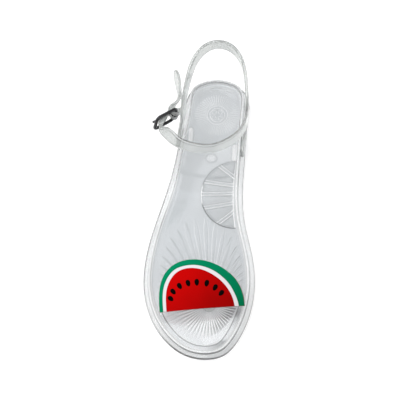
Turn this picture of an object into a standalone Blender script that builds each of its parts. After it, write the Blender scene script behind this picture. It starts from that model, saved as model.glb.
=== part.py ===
# A clear moulded toe post sandal for the right foot, with a buckled ankle strap
# and a slice of watermelon on its toe post. Metres, +Z up, toes towards -Y, inner side of the foot at +X.
import math
from collections import namedtuple

import bmesh
import bpy
import numpy as np
from mathutils import Matrix, Vector

MM = 0.001

# Driving sizes, in millimetres
GAP = 0.3
BED_DISH = 0.8
ARCH_LIFT = 3.5
TOE_SPRING = 5.5
HEEL_BEVEL = 1.5
BAND_THICKNESS = 2.8
FRONT_STRAP_THICKNESS = 2.4
BAND_CORNER = 0.9
FRUIT_THICKNESS = 4.0
FRUIT_BASE_TURN = 5.2
FRUIT_TILT = 7.0
FRUIT_ARCH = 2.5
SEED_LENGTH = 5.6
SEED_WIDTH = 3.7
WIRE_RADIUS = 1.4
PRONG_RADIUS = 0.9
FRAME_LENGTH = 22.0
FRAME_WIDTH = 16.4
FRAME_CORNER = 3.5
PRONG_OVERHANG = 0.8
SLOT_OVERHANG = 3.6
BARREL_LENGTH = 8.6
BARREL_WALL = 1.6
BORE_LENGTH = 12.6

# How finely the curves are cut into faces
SIDE_STEPS = 54
BED_STEPS = 8
LOOP_STEPS = 72
STRAP_STEPS = 84
FRUIT_STEPS = 36
FLESH_ROWS = 3
POST_SIDES = 20
SEED_SIDES = 14
BARREL_SIDES = 20
CORNER_STEPS = 4
HOOK_STEPS = 10
WIRE_ROUNDNESS = 2
SHARP_ANGLE = 40.0
PROBE = 0.2
WELD = 0.02

# Outline of the sole from above, from the toe tip backwards
OutlineRow = namedtuple("OutlineRow", "from_toe lateral medial")
TOE_TIP = OutlineRow(0.0, 7.0, 7.0)
SOLE_OUTLINE = [
    OutlineRow(4.0, -10.9, 22.8),
    OutlineRow(16.8, -27.3, 33.8),
    OutlineRow(36.4, -39.9, 42.4),
    OutlineRow(63.0, -46.2, 46.8),
    OutlineRow(90.0, -44.6, 44.2),
    OutlineRow(119.0, -37.6, 37.8),
    OutlineRow(147.0, -28.9, 36.3),
    OutlineRow(175.0, -23.6, 37.8),
    OutlineRow(200.0, -19.8, 39.3),
    OutlineRow(220.0, -17.0, 41.0),
    OutlineRow(233.0, -15.6, 40.8),
    OutlineRow(242.5, -11.6, 35.9),
    OutlineRow(248.8, -1.4, 25.7),
]
HEEL_BACK = OutlineRow(251.2, 12.0, 12.0)

# Side wall from the tread round the outer step and rim to the footbed
WallRow = namedtuple("WallRow", "inset above rise")
WALL = [
    WallRow(9.0, "tread", 0.0),
    WallRow(2.6, "tread", 0.0),
    WallRow(1.1, "tread", 0.7),
    WallRow(0.2, "tread", 2.2),
    WallRow(0.0, "tread", 3.6),
    WallRow(0.3, "tread", 4.8),
    WallRow(1.2, "tread", 5.5),
    WallRow(3.6, "tread", 5.9),
    WallRow(4.1, "tread", 6.4),
    WallRow(4.2, "bed", 1.4),
    WallRow(4.7, "bed", 2.2),
    WallRow(5.9, "bed", 2.2),
    WallRow(6.5, "bed", 1.6),
    WallRow(7.0, "bed", 0.4),
    WallRow(8.2, "bed", 0.0),
    WallRow(11.0, "bed", 0.0),
]

# Height of the footbed's edge over the floor
BedRow = namedtuple("BedRow", "from_toe height")
BED = [
    BedRow(0.0, 13.2),
    BedRow(22.0, 10.0),
    BedRow(55.0, 8.2),
    BedRow(95.0, 8.4),
    BedRow(125.0, 10.4),
    BedRow(155.0, 13.6),
    BedRow(185.0, 15.2),
    BedRow(220.0, 15.2),
    BedRow(251.2, 16.4),
]

# Tread: the flats stand on the floor, and the waist and toe are lifted
HEEL_FLAT = (182.0, 240.0)
FOREFOOT_FLAT = (38.0, 112.0)
MID_WAIST = 147.0

# Moulded bands: place of the middle line, where its outer face looks in plan, width and outward lean
BandRow = namedtuple("BandRow", "x from_toe z facing width lean")
HEEL_LOOP = [
    BandRow(-18.4, 192.8, 6.7, 171.0, 20.0, 0.0),
    BandRow(-18.5, 193.3, 13.0, 171.0, 17.0, 0.0),
    BandRow(-17.4, 196.0, 25.0, 171.0, 13.0, 2.0),
    BandRow(-14.4, 200.0, 40.0, 171.0, 11.2, 4.0),
    BandRow(-12.4, 206.0, 55.0, 170.0, 10.6, 4.0),
    BandRow(-8.2, 220.6, 67.0, 162.0, 10.4, 4.0),
    BandRow(-2.2, 236.6, 72.0, 142.0, 10.4, 6.0),
    BandRow(7.6, 246.6, 74.5, 114.0, 10.4, 6.0),
    BandRow(17.0, 248.9, 75.0, 86.0, 10.4, 5.0),
    BandRow(27.0, 246.0, 74.0, 58.0, 10.4, 4.0),
    BandRow(35.0, 237.2, 71.0, 28.0, 10.4, 2.0),
    BandRow(39.3, 221.5, 66.0, 9.0, 10.6, 0.0),
    BandRow(40.4, 206.0, 58.0, 1.0, 11.4, 0.0),
    BandRow(39.8, 197.0, 43.0, 0.0, 11.6, 0.0),
    BandRow(37.4, 190.5, 25.0, 0.0, 13.6, 0.0),
    BandRow(36.2, 187.4, 13.0, -3.0, 17.5, 0.0),
    BandRow(36.0, 187.0, 6.7, -3.0, 21.0, 0.0),
]
FRONT_STRAP = [
    BandRow(40.3, 206.5, 59.6, 2.0, 8.6, 0.0),
    BandRow(40.3, 197.0, 59.8, -1.0, 9.8, 0.0),
    BandRow(39.4, 186.5, 59.0, -14.0, 10.0, -4.0),
    BandRow(34.2, 176.3, 57.0, -47.0, 10.0, -12.0),
    BandRow(25.0, 169.2, 55.5, -66.0, 10.0, -17.0),
    BandRow(12.4, 164.6, 54.5, -84.0, 10.0, -18.0),
    BandRow(-3.6, 165.4, 54.3, -103.0, 10.0, -26.0),
    BandRow(-17.6, 170.7, 55.6, -121.0, 9.8, -44.0),
    BandRow(-26.8, 178.0, 58.6, -130.0, 9.4, -44.0),
    BandRow(-30.7, 181.2, 61.0, -170.0, 9.2, -6.0),
    BandRow(-29.8, 185.2, 60.0, -212.0, 9.2, 0.0),
    BandRow(-27.1, 191.2, 56.4, -225.0, 9.2, 0.0),
    BandRow(-24.1, 200.5, 52.1, -225.0, 9.2, 0.0),
    BandRow(-20.9, 204.8, 53.4, -214.0, 9.2, -3.0),
    BandRow(-16.9, 207.9, 57.6, -192.0, 9.2, -10.0),
    BandRow(-16.0, 211.8, 61.6, -178.0, 9.2, -19.0),
    BandRow(-16.6, 218.3, 64.4, -172.0, 9.2, -26.0),
    BandRow(-18.5, 226.5, 65.2, -168.0, 8.4, -28.0),
    BandRow(-19.4, 230.1, 65.4, -166.0, 4.4, -28.0),
]

# Buckle: middle of its inner bar, its two directions in the plane of the frame, and the hook of its prong
BUCKLE_INNER_BAR = (-20.0, 197.0, 51.9)
BUCKLE_ALONG = (-0.637, -0.627, 0.446)
BUCKLE_ACROSS = (0.315, 0.320, 0.895)
HOOK_START = -200.0
HOOK_END = 90.0

# Web of the buckle tab, from the barrel back into the wing
TabRow = namedtuple("TabRow", "along half_width half_thick")
TAB = [
    TabRow(-1.9, 4.1, 1.5),
    TabRow(-5.0, 3.9, 1.3),
    TabRow(-9.5, 2.8, 0.8),
]

# Toe post: foot on the footbed, and its profile from the footbed up
POST_FOOT = (9.3, 44.8)
POST_LEAN = 4.3
POST_CLEARANCE = 0.6
PostRow = namedtuple("PostRow", "radius share")
POST_PROFILE = [
    PostRow(5.6, 0.00),
    PostRow(5.6, 0.05),
    PostRow(4.4, 0.12),
    PostRow(3.4, 0.22),
    PostRow(2.8, 0.40),
    PostRow(2.8, 0.62),
    PostRow(3.8, 0.78),
    PostRow(6.6, 0.90),
    PostRow(9.0, 0.95),
    PostRow(9.0, 1.00),
]

# Slice: left end of its cut edge, its round side in its own axes, and its rings
FRUIT_CORNER = (-29.1, 35.7)
FRUIT_FRONT_HEIGHT = 21.6
FRUIT_MIDDLE = 31.3
FruitRow = namedtuple("FruitRow", "along back")
WHOLE_SLICE = [
    FruitRow(0.0, 0.0),
    FruitRow(0.1, 11.4),
    FruitRow(1.5, 20.4),
    FruitRow(5.2, 29.1),
    FruitRow(12.2, 36.0),
    FruitRow(21.6, 39.5),
    FruitRow(31.4, 39.7),
    FruitRow(40.8, 37.6),
    FruitRow(49.3, 33.7),
    FruitRow(56.9, 28.2),
    FruitRow(63.2, 20.8),
    FruitRow(67.0, 11.7),
    FruitRow(68.0, 4.5),
    FruitRow(68.0, 0.0),
]
PITH_EDGE = [
    FruitRow(2.9, 0.0),
    FruitRow(3.0, 10.8),
    FruitRow(4.3, 18.9),
    FruitRow(7.9, 26.6),
    FruitRow(14.2, 32.8),
    FruitRow(22.7, 35.3),
    FruitRow(31.4, 35.2),
    FruitRow(39.4, 32.9),
    FruitRow(46.5, 29.1),
    FruitRow(52.5, 24.0),
    FruitRow(57.5, 17.9),
    FruitRow(61.1, 10.4),
    FruitRow(63.2, 3.5),
    FruitRow(63.7, 0.0),
]
FLESH_EDGE = [
    FruitRow(5.7, 0.0),
    FruitRow(5.8, 10.3),
    FruitRow(7.0, 17.5),
    FruitRow(10.2, 24.5),
    FruitRow(15.7, 30.2),
    FruitRow(23.4, 32.8),
    FruitRow(31.3, 32.4),
    FruitRow(38.5, 30.0),
    FruitRow(44.7, 26.3),
    FruitRow(50.1, 21.8),
    FruitRow(54.5, 16.4),
    FruitRow(58.0, 9.9),
    FruitRow(59.8, 3.5),
    FruitRow(60.2, 0.0),
]
SeedRow = namedtuple("SeedRow", "along back")
SEEDS = [
    SeedRow(9.9, 9.8),
    SeedRow(12.2, 15.2),
    SeedRow(17.6, 19.2),
    SeedRow(24.6, 20.9),
    SeedRow(31.6, 21.0),
    SeedRow(39.5, 19.6),
    SeedRow(45.9, 15.7),
    SeedRow(50.4, 11.0),
]
SEED_FAN_CENTRE = (31.3, -6.9)
SEED_DEPTH = 1.2
SEED_PROUD = 0.35
SEED_TAPER = 0.15
POCKET_REACH = 0.6


def clear_scene():
    """Remove the objects and collections that a new file starts with."""
    for thing in list(bpy.data.objects):
        bpy.data.objects.remove(thing, do_unlink=True)
    for folder in list(bpy.data.collections):
        bpy.data.collections.remove(folder)


def new_collection(name):
    folder = bpy.data.collections.new(name)
    bpy.context.scene.collection.children.link(folder)
    return folder


def finish(name, colour, roughness, metallic=0.0, clear=0.0):
    """A Principled material for one piece."""
    mat = bpy.data.materials.new(name)
    mat.use_nodes = True
    shader = mat.node_tree.nodes["Principled BSDF"]
    shader.inputs["Base Color"].default_value = (*colour, 1.0)
    shader.inputs["Roughness"].default_value = roughness
    shader.inputs["Metallic"].default_value = metallic
    shader.inputs["Transmission Weight"].default_value = clear
    return mat


def smooth_step(low, high, value):
    share = min(max((value - low) / (high - low), 0.0), 1.0)
    return share * share * (3.0 - 2.0 * share)


def smooth_curve(points, closed=False, place_columns=3):
    """A cubic curve through the points, as a function of the length along their chords."""
    pts = np.array(points, dtype=float)
    if closed:
        pts = np.vstack([pts, pts[:1]])
    step = np.linalg.norm(np.diff(pts[:, :place_columns], axis=0), axis=1)
    knots = np.concatenate([[0.0], np.cumsum(step)])
    count = len(pts)
    slope = np.diff(pts, axis=0) / step[:, None]
    matrix = np.zeros((count, count))
    known = np.zeros_like(pts)
    for i in range(1, count - 1):
        matrix[i, i - 1] = step[i - 1]
        matrix[i, i] = 2.0 * (step[i - 1] + step[i])
        matrix[i, i + 1] = step[i]
        known[i] = 6.0 * (slope[i] - slope[i - 1])
    matrix[0, 0] = 1.0
    matrix[-1, -1] = 1.0
    if closed:
        matrix[0, -1] = -1.0
        matrix[-1] = 0.0
        matrix[-1, 0] = 2.0 * step[0]
        matrix[-1, 1] = step[0]
        matrix[-1, -2] = step[-1]
        matrix[-1, -1] = 2.0 * step[-1]
        known[-1] = 6.0 * (slope[0] - slope[-1])
    bend = np.linalg.solve(matrix, known)

    def at(length):
        i = int(min(max(np.searchsorted(knots, length) - 1, 0), count - 2))
        ahead = knots[i + 1] - length
        behind = length - knots[i]
        cubic = (bend[i] * ahead**3 + bend[i + 1] * behind**3) / (6.0 * step[i])
        left = (pts[i] / step[i] - bend[i] * step[i] / 6.0) * ahead
        right = (pts[i + 1] / step[i] - bend[i + 1] * step[i] / 6.0) * behind
        return cubic + left + right

    return at, knots


def to_mesh(name, points, faces, weld=0.0):
    """A mesh object from points in millimetres, with its faces turned outwards."""
    mesh = bpy.data.meshes.new(name)
    mesh.from_pydata([Vector(p) * MM for p in points], [], faces)
    shape = bmesh.new()
    shape.from_mesh(mesh)
    if weld:
        bmesh.ops.remove_doubles(shape, verts=shape.verts, dist=weld * MM)
    bmesh.ops.recalc_face_normals(shape, faces=shape.faces)
    shape.to_mesh(mesh)
    shape.free()
    mesh.shade_smooth()
    mesh.set_sharp_from_angle(angle=math.radians(SHARP_ANGLE))
    return bpy.data.objects.new(name, mesh)


def place(thing, folder, material, parent):
    folder.objects.link(thing)
    thing.data.materials.clear()
    thing.data.materials.append(material)
    thing.parent = parent
    return thing


def apply_boolean(thing, other, operation, folder):
    """Join or cut a mesh object with another one, and keep the result as its own mesh."""
    for piece in (thing, other):
        if piece.name not in folder.objects:
            folder.objects.link(piece)
    step = thing.modifiers.new(operation.lower(), "BOOLEAN")
    step.operation = operation
    step.object = other
    step.solver = "EXACT"
    view = bpy.context.evaluated_depsgraph_get()
    result = bpy.data.meshes.new_from_object(thing.evaluated_get(view))
    thing.modifiers.remove(step)
    thing.data = result
    bpy.data.objects.remove(other, do_unlink=True)
    folder.objects.unlink(thing)
    return thing


def outline_points():
    """Points and outward directions round the sole: down the outer side to the toe, back up the inner side."""
    lateral = [(row.lateral, row.from_toe) for row in reversed(SOLE_OUTLINE)]
    medial = [(row.medial, row.from_toe) for row in SOLE_OUTLINE]
    heel = (HEEL_BACK.lateral, HEEL_BACK.from_toe)
    toe = (TOE_TIP.lateral, TOE_TIP.from_toe)
    curve, knots = smooth_curve([heel, *lateral, toe, *medial], closed=True, place_columns=2)
    toe_length = knots[len(lateral) + 1]
    whole = knots[-1]
    outer_side = np.linspace(0.0, toe_length, SIDE_STEPS + 1)
    inner_side = np.linspace(toe_length, whole, SIDE_STEPS + 1)
    lengths = np.concatenate([outer_side[:-1], inner_side[:-1]])
    points = np.array([curve(s) for s in lengths])
    ahead = np.array([curve((s + PROBE) % whole) for s in lengths])
    behind = np.array([curve((s - PROBE) % whole) for s in lengths])
    along = ahead - behind
    along /= np.linalg.norm(along, axis=1)[:, None]
    outward = np.column_stack([along[:, 1], -along[:, 0]])
    return points, outward


def tread_height(from_toe):
    """Underside over the floor: flat at heel and forefoot, lifted at the waist, toe and heel edge."""
    waist = smooth_step(FOREFOOT_FLAT[1], MID_WAIST, from_toe) * smooth_step(HEEL_FLAT[0], MID_WAIST, from_toe)
    toe = max(FOREFOOT_FLAT[0] - from_toe, 0.0) / FOREFOOT_FLAT[0]
    heel = max(from_toe - HEEL_FLAT[1], 0.0) / (HEEL_BACK.from_toe - HEEL_FLAT[1])
    return ARCH_LIFT * waist + TOE_SPRING * toe * toe + HEEL_BEVEL * heel * heel


bed_curve = smooth_curve([(row.from_toe, row.height) for row in BED], place_columns=1)[0]


def bed_edge_height(from_toe):
    return float(bed_curve(min(max(from_toe, 0.0), HEEL_BACK.from_toe))[1])


def bed_height(from_toe, share):
    """Footbed over the floor; share runs from -1 at one edge to 1 at the other, and the middle is dished."""
    return bed_edge_height(from_toe) - BED_DISH * (1.0 - share * share)


def make_sole():
    edge, outward = outline_points()
    count = len(edge)
    points = []
    faces = []
    for row in WALL:
        ring = edge - outward * row.inset
        for x, from_toe in ring:
            base = tread_height(from_toe) if row.above == "tread" else bed_edge_height(from_toe)
            points.append((x, from_toe, base + row.rise))
    for level in range(len(WALL) - 1):
        for i in range(count):
            j = (i + 1) % count
            low = level * count
            high = low + count
            faces.append((low + i, low + j, high + j, high + i))

    def cap(level, height_at):
        """Close a ring with strips from the outer side to the inner side."""
        first = level * count
        rows = []
        for i in range(1, SIDE_STEPS):
            left = np.array(points[first + i])
            right = np.array(points[first + count - i])
            row = [first + i]
            for k in range(1, BED_STEPS):
                share = k / BED_STEPS
                spot = left + (right - left) * share
                points.append((spot[0], spot[1], height_at(spot[1], 2.0 * share - 1.0)))
                row.append(len(points) - 1)
            row.append(first + count - i)
            rows.append(row)
        for one, two in zip(rows[:-1], rows[1:]):
            for k in range(BED_STEPS):
                faces.append((one[k], one[k + 1], two[k + 1], two[k]))
        for tip, row in ((first, rows[0]), (first + SIDE_STEPS, rows[-1])):
            for k in range(BED_STEPS):
                faces.append((tip, row[k], row[k + 1]))

    cap(0, lambda from_toe, share: tread_height(from_toe))
    cap(len(WALL) - 1, bed_height)
    return to_mesh("sole", points, faces)


def section(width, thickness, corner):
    """Half sizes of a band's cross-section, with cut corners."""
    a = width / 2.0
    b = thickness / 2.0
    c = min(corner, 0.8 * b, 0.8 * a)
    return [(a, c - b), (a, b - c), (a - c, b), (c - a, b), (-a, b - c), (-a, c - b), (c - a, -b), (a - c, -b)]


def make_band(name, rows, thickness, steps):
    """Sweep a flat section along a band's middle line."""
    curve, knots = smooth_curve(rows)
    lengths = np.linspace(0.0, knots[-1], steps + 1)
    points = []
    rings = []
    for s in lengths:
        x, from_toe, z, facing, width, lean = curve(s)
        along = (curve(min(s + PROBE, knots[-1])) - curve(max(s - PROBE, 0.0)))[:3]
        along /= np.linalg.norm(along)
        turn = math.radians(facing)
        out = np.array([math.cos(turn), math.sin(turn), 0.0])
        out -= along * np.dot(out, along)
        out /= np.linalg.norm(out)
        up = np.cross(along, out)
        tip = math.radians(lean)
        across = up * math.cos(tip) + out * math.sin(tip)
        outer = out * math.cos(tip) - up * math.sin(tip)
        middle = np.array([x, from_toe, z])
        ring = []
        for a, b in section(width, thickness, BAND_CORNER):
            ring.append(len(points))
            points.append(tuple(middle + across * a + outer * b))
        rings.append(ring)
    faces = [tuple(rings[0]), tuple(reversed(rings[-1]))]
    sides = len(rings[0])
    for one, two in zip(rings[:-1], rings[1:]):
        for i in range(sides):
            j = (i + 1) % sides
            faces.append((one[i], one[j], two[j], two[i]))
    return to_mesh(name, points, faces)


def buckle_axes():
    """Origin at the inner bar, then along, across and outward directions."""
    along = Vector(BUCKLE_ALONG).normalized()
    across = Vector(BUCKLE_ACROSS)
    across = (across - along * across.dot(along)).normalized()
    outward = along.cross(across)
    return Vector(BUCKLE_INNER_BAR), along, across, outward


def buckle_point(along_bar, across_bar, out):
    origin, along, across, outward = buckle_axes()
    return origin + along * along_bar + across * across_bar + outward * out


def wire(name, path, radius, closed):
    """A round wire along a path of points in millimetres."""
    curve = bpy.data.curves.new(name, "CURVE")
    curve.dimensions = "3D"
    curve.bevel_depth = radius * MM
    curve.bevel_resolution = WIRE_ROUNDNESS
    curve.use_fill_caps = True
    line = curve.splines.new("POLY")
    line.points.add(len(path) - 1)
    for point, spot in zip(line.points, path):
        point.co = (*(spot * MM), 1.0)
    line.use_cyclic_u = closed
    return bpy.data.objects.new(name, curve)


def wire_mesh(thing, folder):
    """The same wire as a mesh object with its caps welded on."""
    folder.objects.link(thing)
    view = bpy.context.evaluated_depsgraph_get()
    mesh = bpy.data.meshes.new_from_object(thing.evaluated_get(view))
    shape = bmesh.new()
    shape.from_mesh(mesh)
    bmesh.ops.remove_doubles(shape, verts=shape.verts, dist=WELD * MM)
    shape.to_mesh(mesh)
    shape.free()
    name = thing.name
    bpy.data.objects.remove(thing, do_unlink=True)
    return bpy.data.objects.new(name, mesh)


def frame_path():
    """Rounded rectangle through the middle of the frame's wire, with the inner bar at 0."""
    path = []
    half = FRAME_WIDTH / 2.0 - WIRE_RADIUS
    corners = [(0.0, half, 90.0), (0.0, -half, 180.0), (FRAME_LENGTH, -half, 270.0), (FRAME_LENGTH, half, 0.0)]
    for end, side, start in corners:
        middle_along = end + FRAME_CORNER if end == 0.0 else end - FRAME_CORNER
        middle_across = side - math.copysign(FRAME_CORNER, side)
        for k in range(CORNER_STEPS + 1):
            turn = math.radians(start + 90.0 * k / CORNER_STEPS)
            along = middle_along + FRAME_CORNER * math.cos(turn)
            across = middle_across + FRAME_CORNER * math.sin(turn)
            path.append(buckle_point(along, across, 0.0))
    return path


def prong_path(overhang):
    """Hook round the inner bar, then straight across the frame and past its outer bar."""
    reach = WIRE_RADIUS + GAP + PRONG_RADIUS
    path = []
    for degrees in np.linspace(HOOK_START, HOOK_END, HOOK_STEPS + 1):
        turn = math.radians(degrees)
        path.append(buckle_point(-reach * math.cos(turn), 0.0, reach * math.sin(turn)))
    path.append(buckle_point(FRAME_LENGTH + overhang, 0.0, reach))
    return path


def make_barrel(name, radius, length):
    """A cylinder round the buckle's inner bar."""
    origin, along, across, outward = buckle_axes()
    shape = bmesh.new()
    bmesh.ops.create_cone(
        shape, cap_ends=True, segments=BARREL_SIDES, radius1=radius * MM, radius2=radius * MM, depth=length * MM
    )
    mesh = bpy.data.meshes.new(name)
    shape.to_mesh(mesh)
    shape.free()
    turn = Matrix((along, outward, across)).transposed().to_4x4()
    if turn.determinant() < 0.0:
        turn = Matrix((outward, along, across)).transposed().to_4x4()
    mesh.transform(Matrix.Translation(origin * MM) @ turn)
    return bpy.data.objects.new(name, mesh)


def make_tab_web():
    """Flat web from the barrel back into the outer wing."""
    points = []
    rings = []
    for row in TAB:
        ring = []
        for across, out in ((1, 1), (-1, 1), (-1, -1), (1, -1)):
            ring.append(len(points))
            points.append(buckle_point(row.along, across * row.half_width, out * row.half_thick))
        rings.append(ring)
    faces = [tuple(rings[0]), tuple(reversed(rings[-1]))]
    for one, two in zip(rings[:-1], rings[1:]):
        for i in range(4):
            j = (i + 1) % 4
            faces.append((one[i], one[j], two[j], two[i]))
    return to_mesh("tab_web", points, faces)


def make_upper(folder):
    """Wings, heel loop, front strap and buckle tab, fused into one moulding."""
    upper = make_band("upper", HEEL_LOOP, BAND_THICKNESS, LOOP_STEPS)
    strap = make_band("front_strap", FRONT_STRAP, FRONT_STRAP_THICKNESS, STRAP_STEPS)
    barrel = make_barrel("barrel", WIRE_RADIUS + GAP + BARREL_WALL, BARREL_LENGTH)
    barrel = apply_boolean(barrel, make_tab_web(), "UNION", folder)
    bore = make_barrel("bore", WIRE_RADIUS + GAP, BORE_LENGTH)
    barrel = apply_boolean(barrel, bore, "DIFFERENCE", folder)
    upper = apply_boolean(upper, barrel, "UNION", folder)
    upper = apply_boolean(upper, strap, "UNION", folder)
    slot = wire("prong_slot", prong_path(SLOT_OVERHANG), PRONG_RADIUS + GAP, False)
    upper = apply_boolean(upper, wire_mesh(slot, folder), "DIFFERENCE", folder)
    shape = bmesh.new()
    shape.from_mesh(upper.data)
    bmesh.ops.remove_doubles(shape, verts=shape.verts, dist=WELD * MM)
    bmesh.ops.dissolve_degenerate(shape, edges=shape.edges, dist=WELD * MM)
    shape.to_mesh(upper.data)
    shape.free()
    return upper


def fruit_spot(along, back, rise):
    """A point of the slice: turned over the toes, tilted up towards the instep and gently arched across."""
    middle = WHOLE_SLICE[-1].along / 2.0
    sag = FRUIT_ARCH * ((along - middle) / middle) ** 2
    tilt = math.radians(FRUIT_TILT)
    turn = math.radians(FRUIT_BASE_TURN)
    level = back * math.cos(tilt) - rise * math.sin(tilt)
    height = FRUIT_FRONT_HEIGHT + back * math.sin(tilt) + rise * math.cos(tilt) - sag
    x = FRUIT_CORNER[0] + along * math.cos(turn) - level * math.sin(turn)
    from_toe = FRUIT_CORNER[1] + along * math.sin(turn) + level * math.cos(turn)
    return (x, from_toe, height)


def fruit_arc(edge, shrink=0.0):
    """One of the slice's outlines, drawn in towards a middle on the cut edge."""
    curve, knots = smooth_curve(edge, place_columns=2)
    spots = []
    for s in np.linspace(0.0, knots[-1], FRUIT_STEPS + 1):
        along, back = curve(s)
        size = math.hypot(along - FRUIT_MIDDLE, back)
        share = 1.0 - shrink / size
        spots.append((FRUIT_MIDDLE + (along - FRUIT_MIDDLE) * share, max(back * share, 0.0)))
    return spots


def make_ring(name, outer_edge, inner_edge):
    """One of the slice's outer bands, from the cut edge round to the cut edge."""
    outer = fruit_arc(outer_edge, 0.0 if outer_edge == WHOLE_SLICE else GAP / 2.0)
    inner = fruit_arc(inner_edge, -GAP / 2.0)
    points = []
    faces = []
    for rise in (0.0, FRUIT_THICKNESS):
        points.extend(fruit_spot(a, b, rise) for a, b in outer)
        points.extend(fruit_spot(a, b, rise) for a, b in inner)
    n = len(outer)
    for i in range(n - 1):
        faces.append((i, i + 1, n + i + 1, n + i))
        faces.append((2 * n + i, 2 * n + i + 1, 3 * n + i + 1, 3 * n + i))
        faces.append((i, i + 1, 2 * n + i + 1, 2 * n + i))
        faces.append((n + i, n + i + 1, 3 * n + i + 1, 3 * n + i))
    for i in (0, n - 1):
        faces.append((i, n + i, 3 * n + i, 2 * n + i))
    return to_mesh(name, points, faces)


def make_flesh(folder):
    """The red middle of the slice, with a pocket for each seed."""
    arc = fruit_arc(FLESH_EDGE, GAP / 2.0)
    points = []
    faces = []
    n = len(arc)
    for rise in (0.0, FRUIT_THICKNESS):
        for k in range(FLESH_ROWS + 1):
            share = k / FLESH_ROWS
            for i, (a, b) in enumerate(arc):
                cut = arc[0][0] + (arc[-1][0] - arc[0][0]) * i / (n - 1)
                points.append(fruit_spot(a + (cut - a) * share, b * (1.0 - share), rise))
    layer = n * (FLESH_ROWS + 1)
    for side in (0, layer):
        for k in range(FLESH_ROWS):
            for i in range(n - 1):
                p = side + k * n + i
                faces.append((p, p + 1, p + n + 1, p + n))
    for i in range(n - 1):
        faces.append((i, i + 1, layer + i + 1, layer + i))
        p = FLESH_ROWS * n + i
        faces.append((p, p + 1, layer + p + 1, layer + p))
    flesh = to_mesh("fruit_flesh", points, faces, weld=WELD)
    for index, row in enumerate(SEEDS):
        pocket = make_seed(f"pocket_{index}", row, GAP, POCKET_REACH)
        flesh = apply_boolean(flesh, pocket, "DIFFERENCE", folder)
    return flesh


def make_seed(name, row, grow, proud):
    """A drop-shaped seed that points away from the middle of the cut edge."""
    turn = math.atan2(row.back - SEED_FAN_CENTRE[1], row.along - SEED_FAN_CENTRE[0])
    half_length = SEED_LENGTH / 2.0 + grow
    half_width = SEED_WIDTH / 2.0 + grow
    rim = []
    for k in range(SEED_SIDES):
        angle = 2.0 * math.pi * k / SEED_SIDES
        far = half_length * math.cos(angle)
        wide = half_width * math.sin(angle) * (1.0 + SEED_TAPER * math.cos(angle))
        rim.append((row.along + far * math.cos(turn) - wide * math.sin(turn),
                    row.back + far * math.sin(turn) + wide * math.cos(turn)))
    low = FRUIT_THICKNESS - SEED_DEPTH - grow
    high = FRUIT_THICKNESS + proud
    points = [fruit_spot(a, b, low) for a, b in rim]
    points.extend(fruit_spot(a, b, high) for a, b in rim)
    faces = [tuple(reversed(range(SEED_SIDES))), tuple(range(SEED_SIDES, 2 * SEED_SIDES))]
    for k in range(SEED_SIDES):
        j = (k + 1) % SEED_SIDES
        faces.append((k, j, SEED_SIDES + j, SEED_SIDES + k))
    return to_mesh(name, points, faces)


def bed_share(x, from_toe):
    """Where a point lies between the footbed's edges, from -1 to 1."""
    edge, outward = outline_points()
    ring = edge - outward * WALL[-1].inset
    outer_side = ring[: SIDE_STEPS + 1][::-1]
    inner_side = ring[SIDE_STEPS:]
    low = np.interp(from_toe, outer_side[:, 1], outer_side[:, 0])
    high = np.interp(from_toe, inner_side[:, 1], inner_side[:, 0])
    return 2.0 * (x - low) / (high - low) - 1.0


def make_post():
    """A turned post whose foot follows the footbed and whose plate follows the underside of the slice."""
    x, from_toe = POST_FOOT
    turn = math.radians(FRUIT_BASE_TURN)
    along = (x - FRUIT_CORNER[0]) * math.cos(turn) + (from_toe - FRUIT_CORNER[1]) * math.sin(turn)
    back = (from_toe - FRUIT_CORNER[1]) * math.cos(turn) - (x - FRUIT_CORNER[0]) * math.sin(turn)
    points = []
    for row in POST_PROFILE:
        for k in range(POST_SIDES):
            angle = 2.0 * math.pi * k / POST_SIDES
            dx = row.radius * math.cos(angle)
            dy = row.radius * math.sin(angle)
            bed = bed_height(from_toe + dy, bed_share(x + dx, from_toe + dy)) + POST_CLEARANCE
            foot = Vector((x + dx, from_toe + dy, bed))
            head = Vector(fruit_spot(along + dx, back + POST_LEAN + dy, -GAP))
            points.append(foot.lerp(head, row.share))
    last = (len(POST_PROFILE) - 1) * POST_SIDES
    faces = [tuple(reversed(range(POST_SIDES))), tuple(range(last, last + POST_SIDES))]
    for level in range(len(POST_PROFILE) - 1):
        for k in range(POST_SIDES):
            j = (k + 1) % POST_SIDES
            low = level * POST_SIDES
            faces.append((low + k, low + j, low + POST_SIDES + j, low + POST_SIDES + k))
    return to_mesh("toe_post", points, faces)


def bounds_of(things):
    view = bpy.context.evaluated_depsgraph_get()
    spots = []
    for thing in things:
        ready = thing.evaluated_get(view)
        spots.extend(ready.matrix_world @ v.co for v in ready.to_mesh().vertices)
        ready.to_mesh_clear()
    low = [min(p[i] for p in spots) for i in range(3)]
    high = [max(p[i] for p in spots) for i in range(3)]
    return low, high


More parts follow.
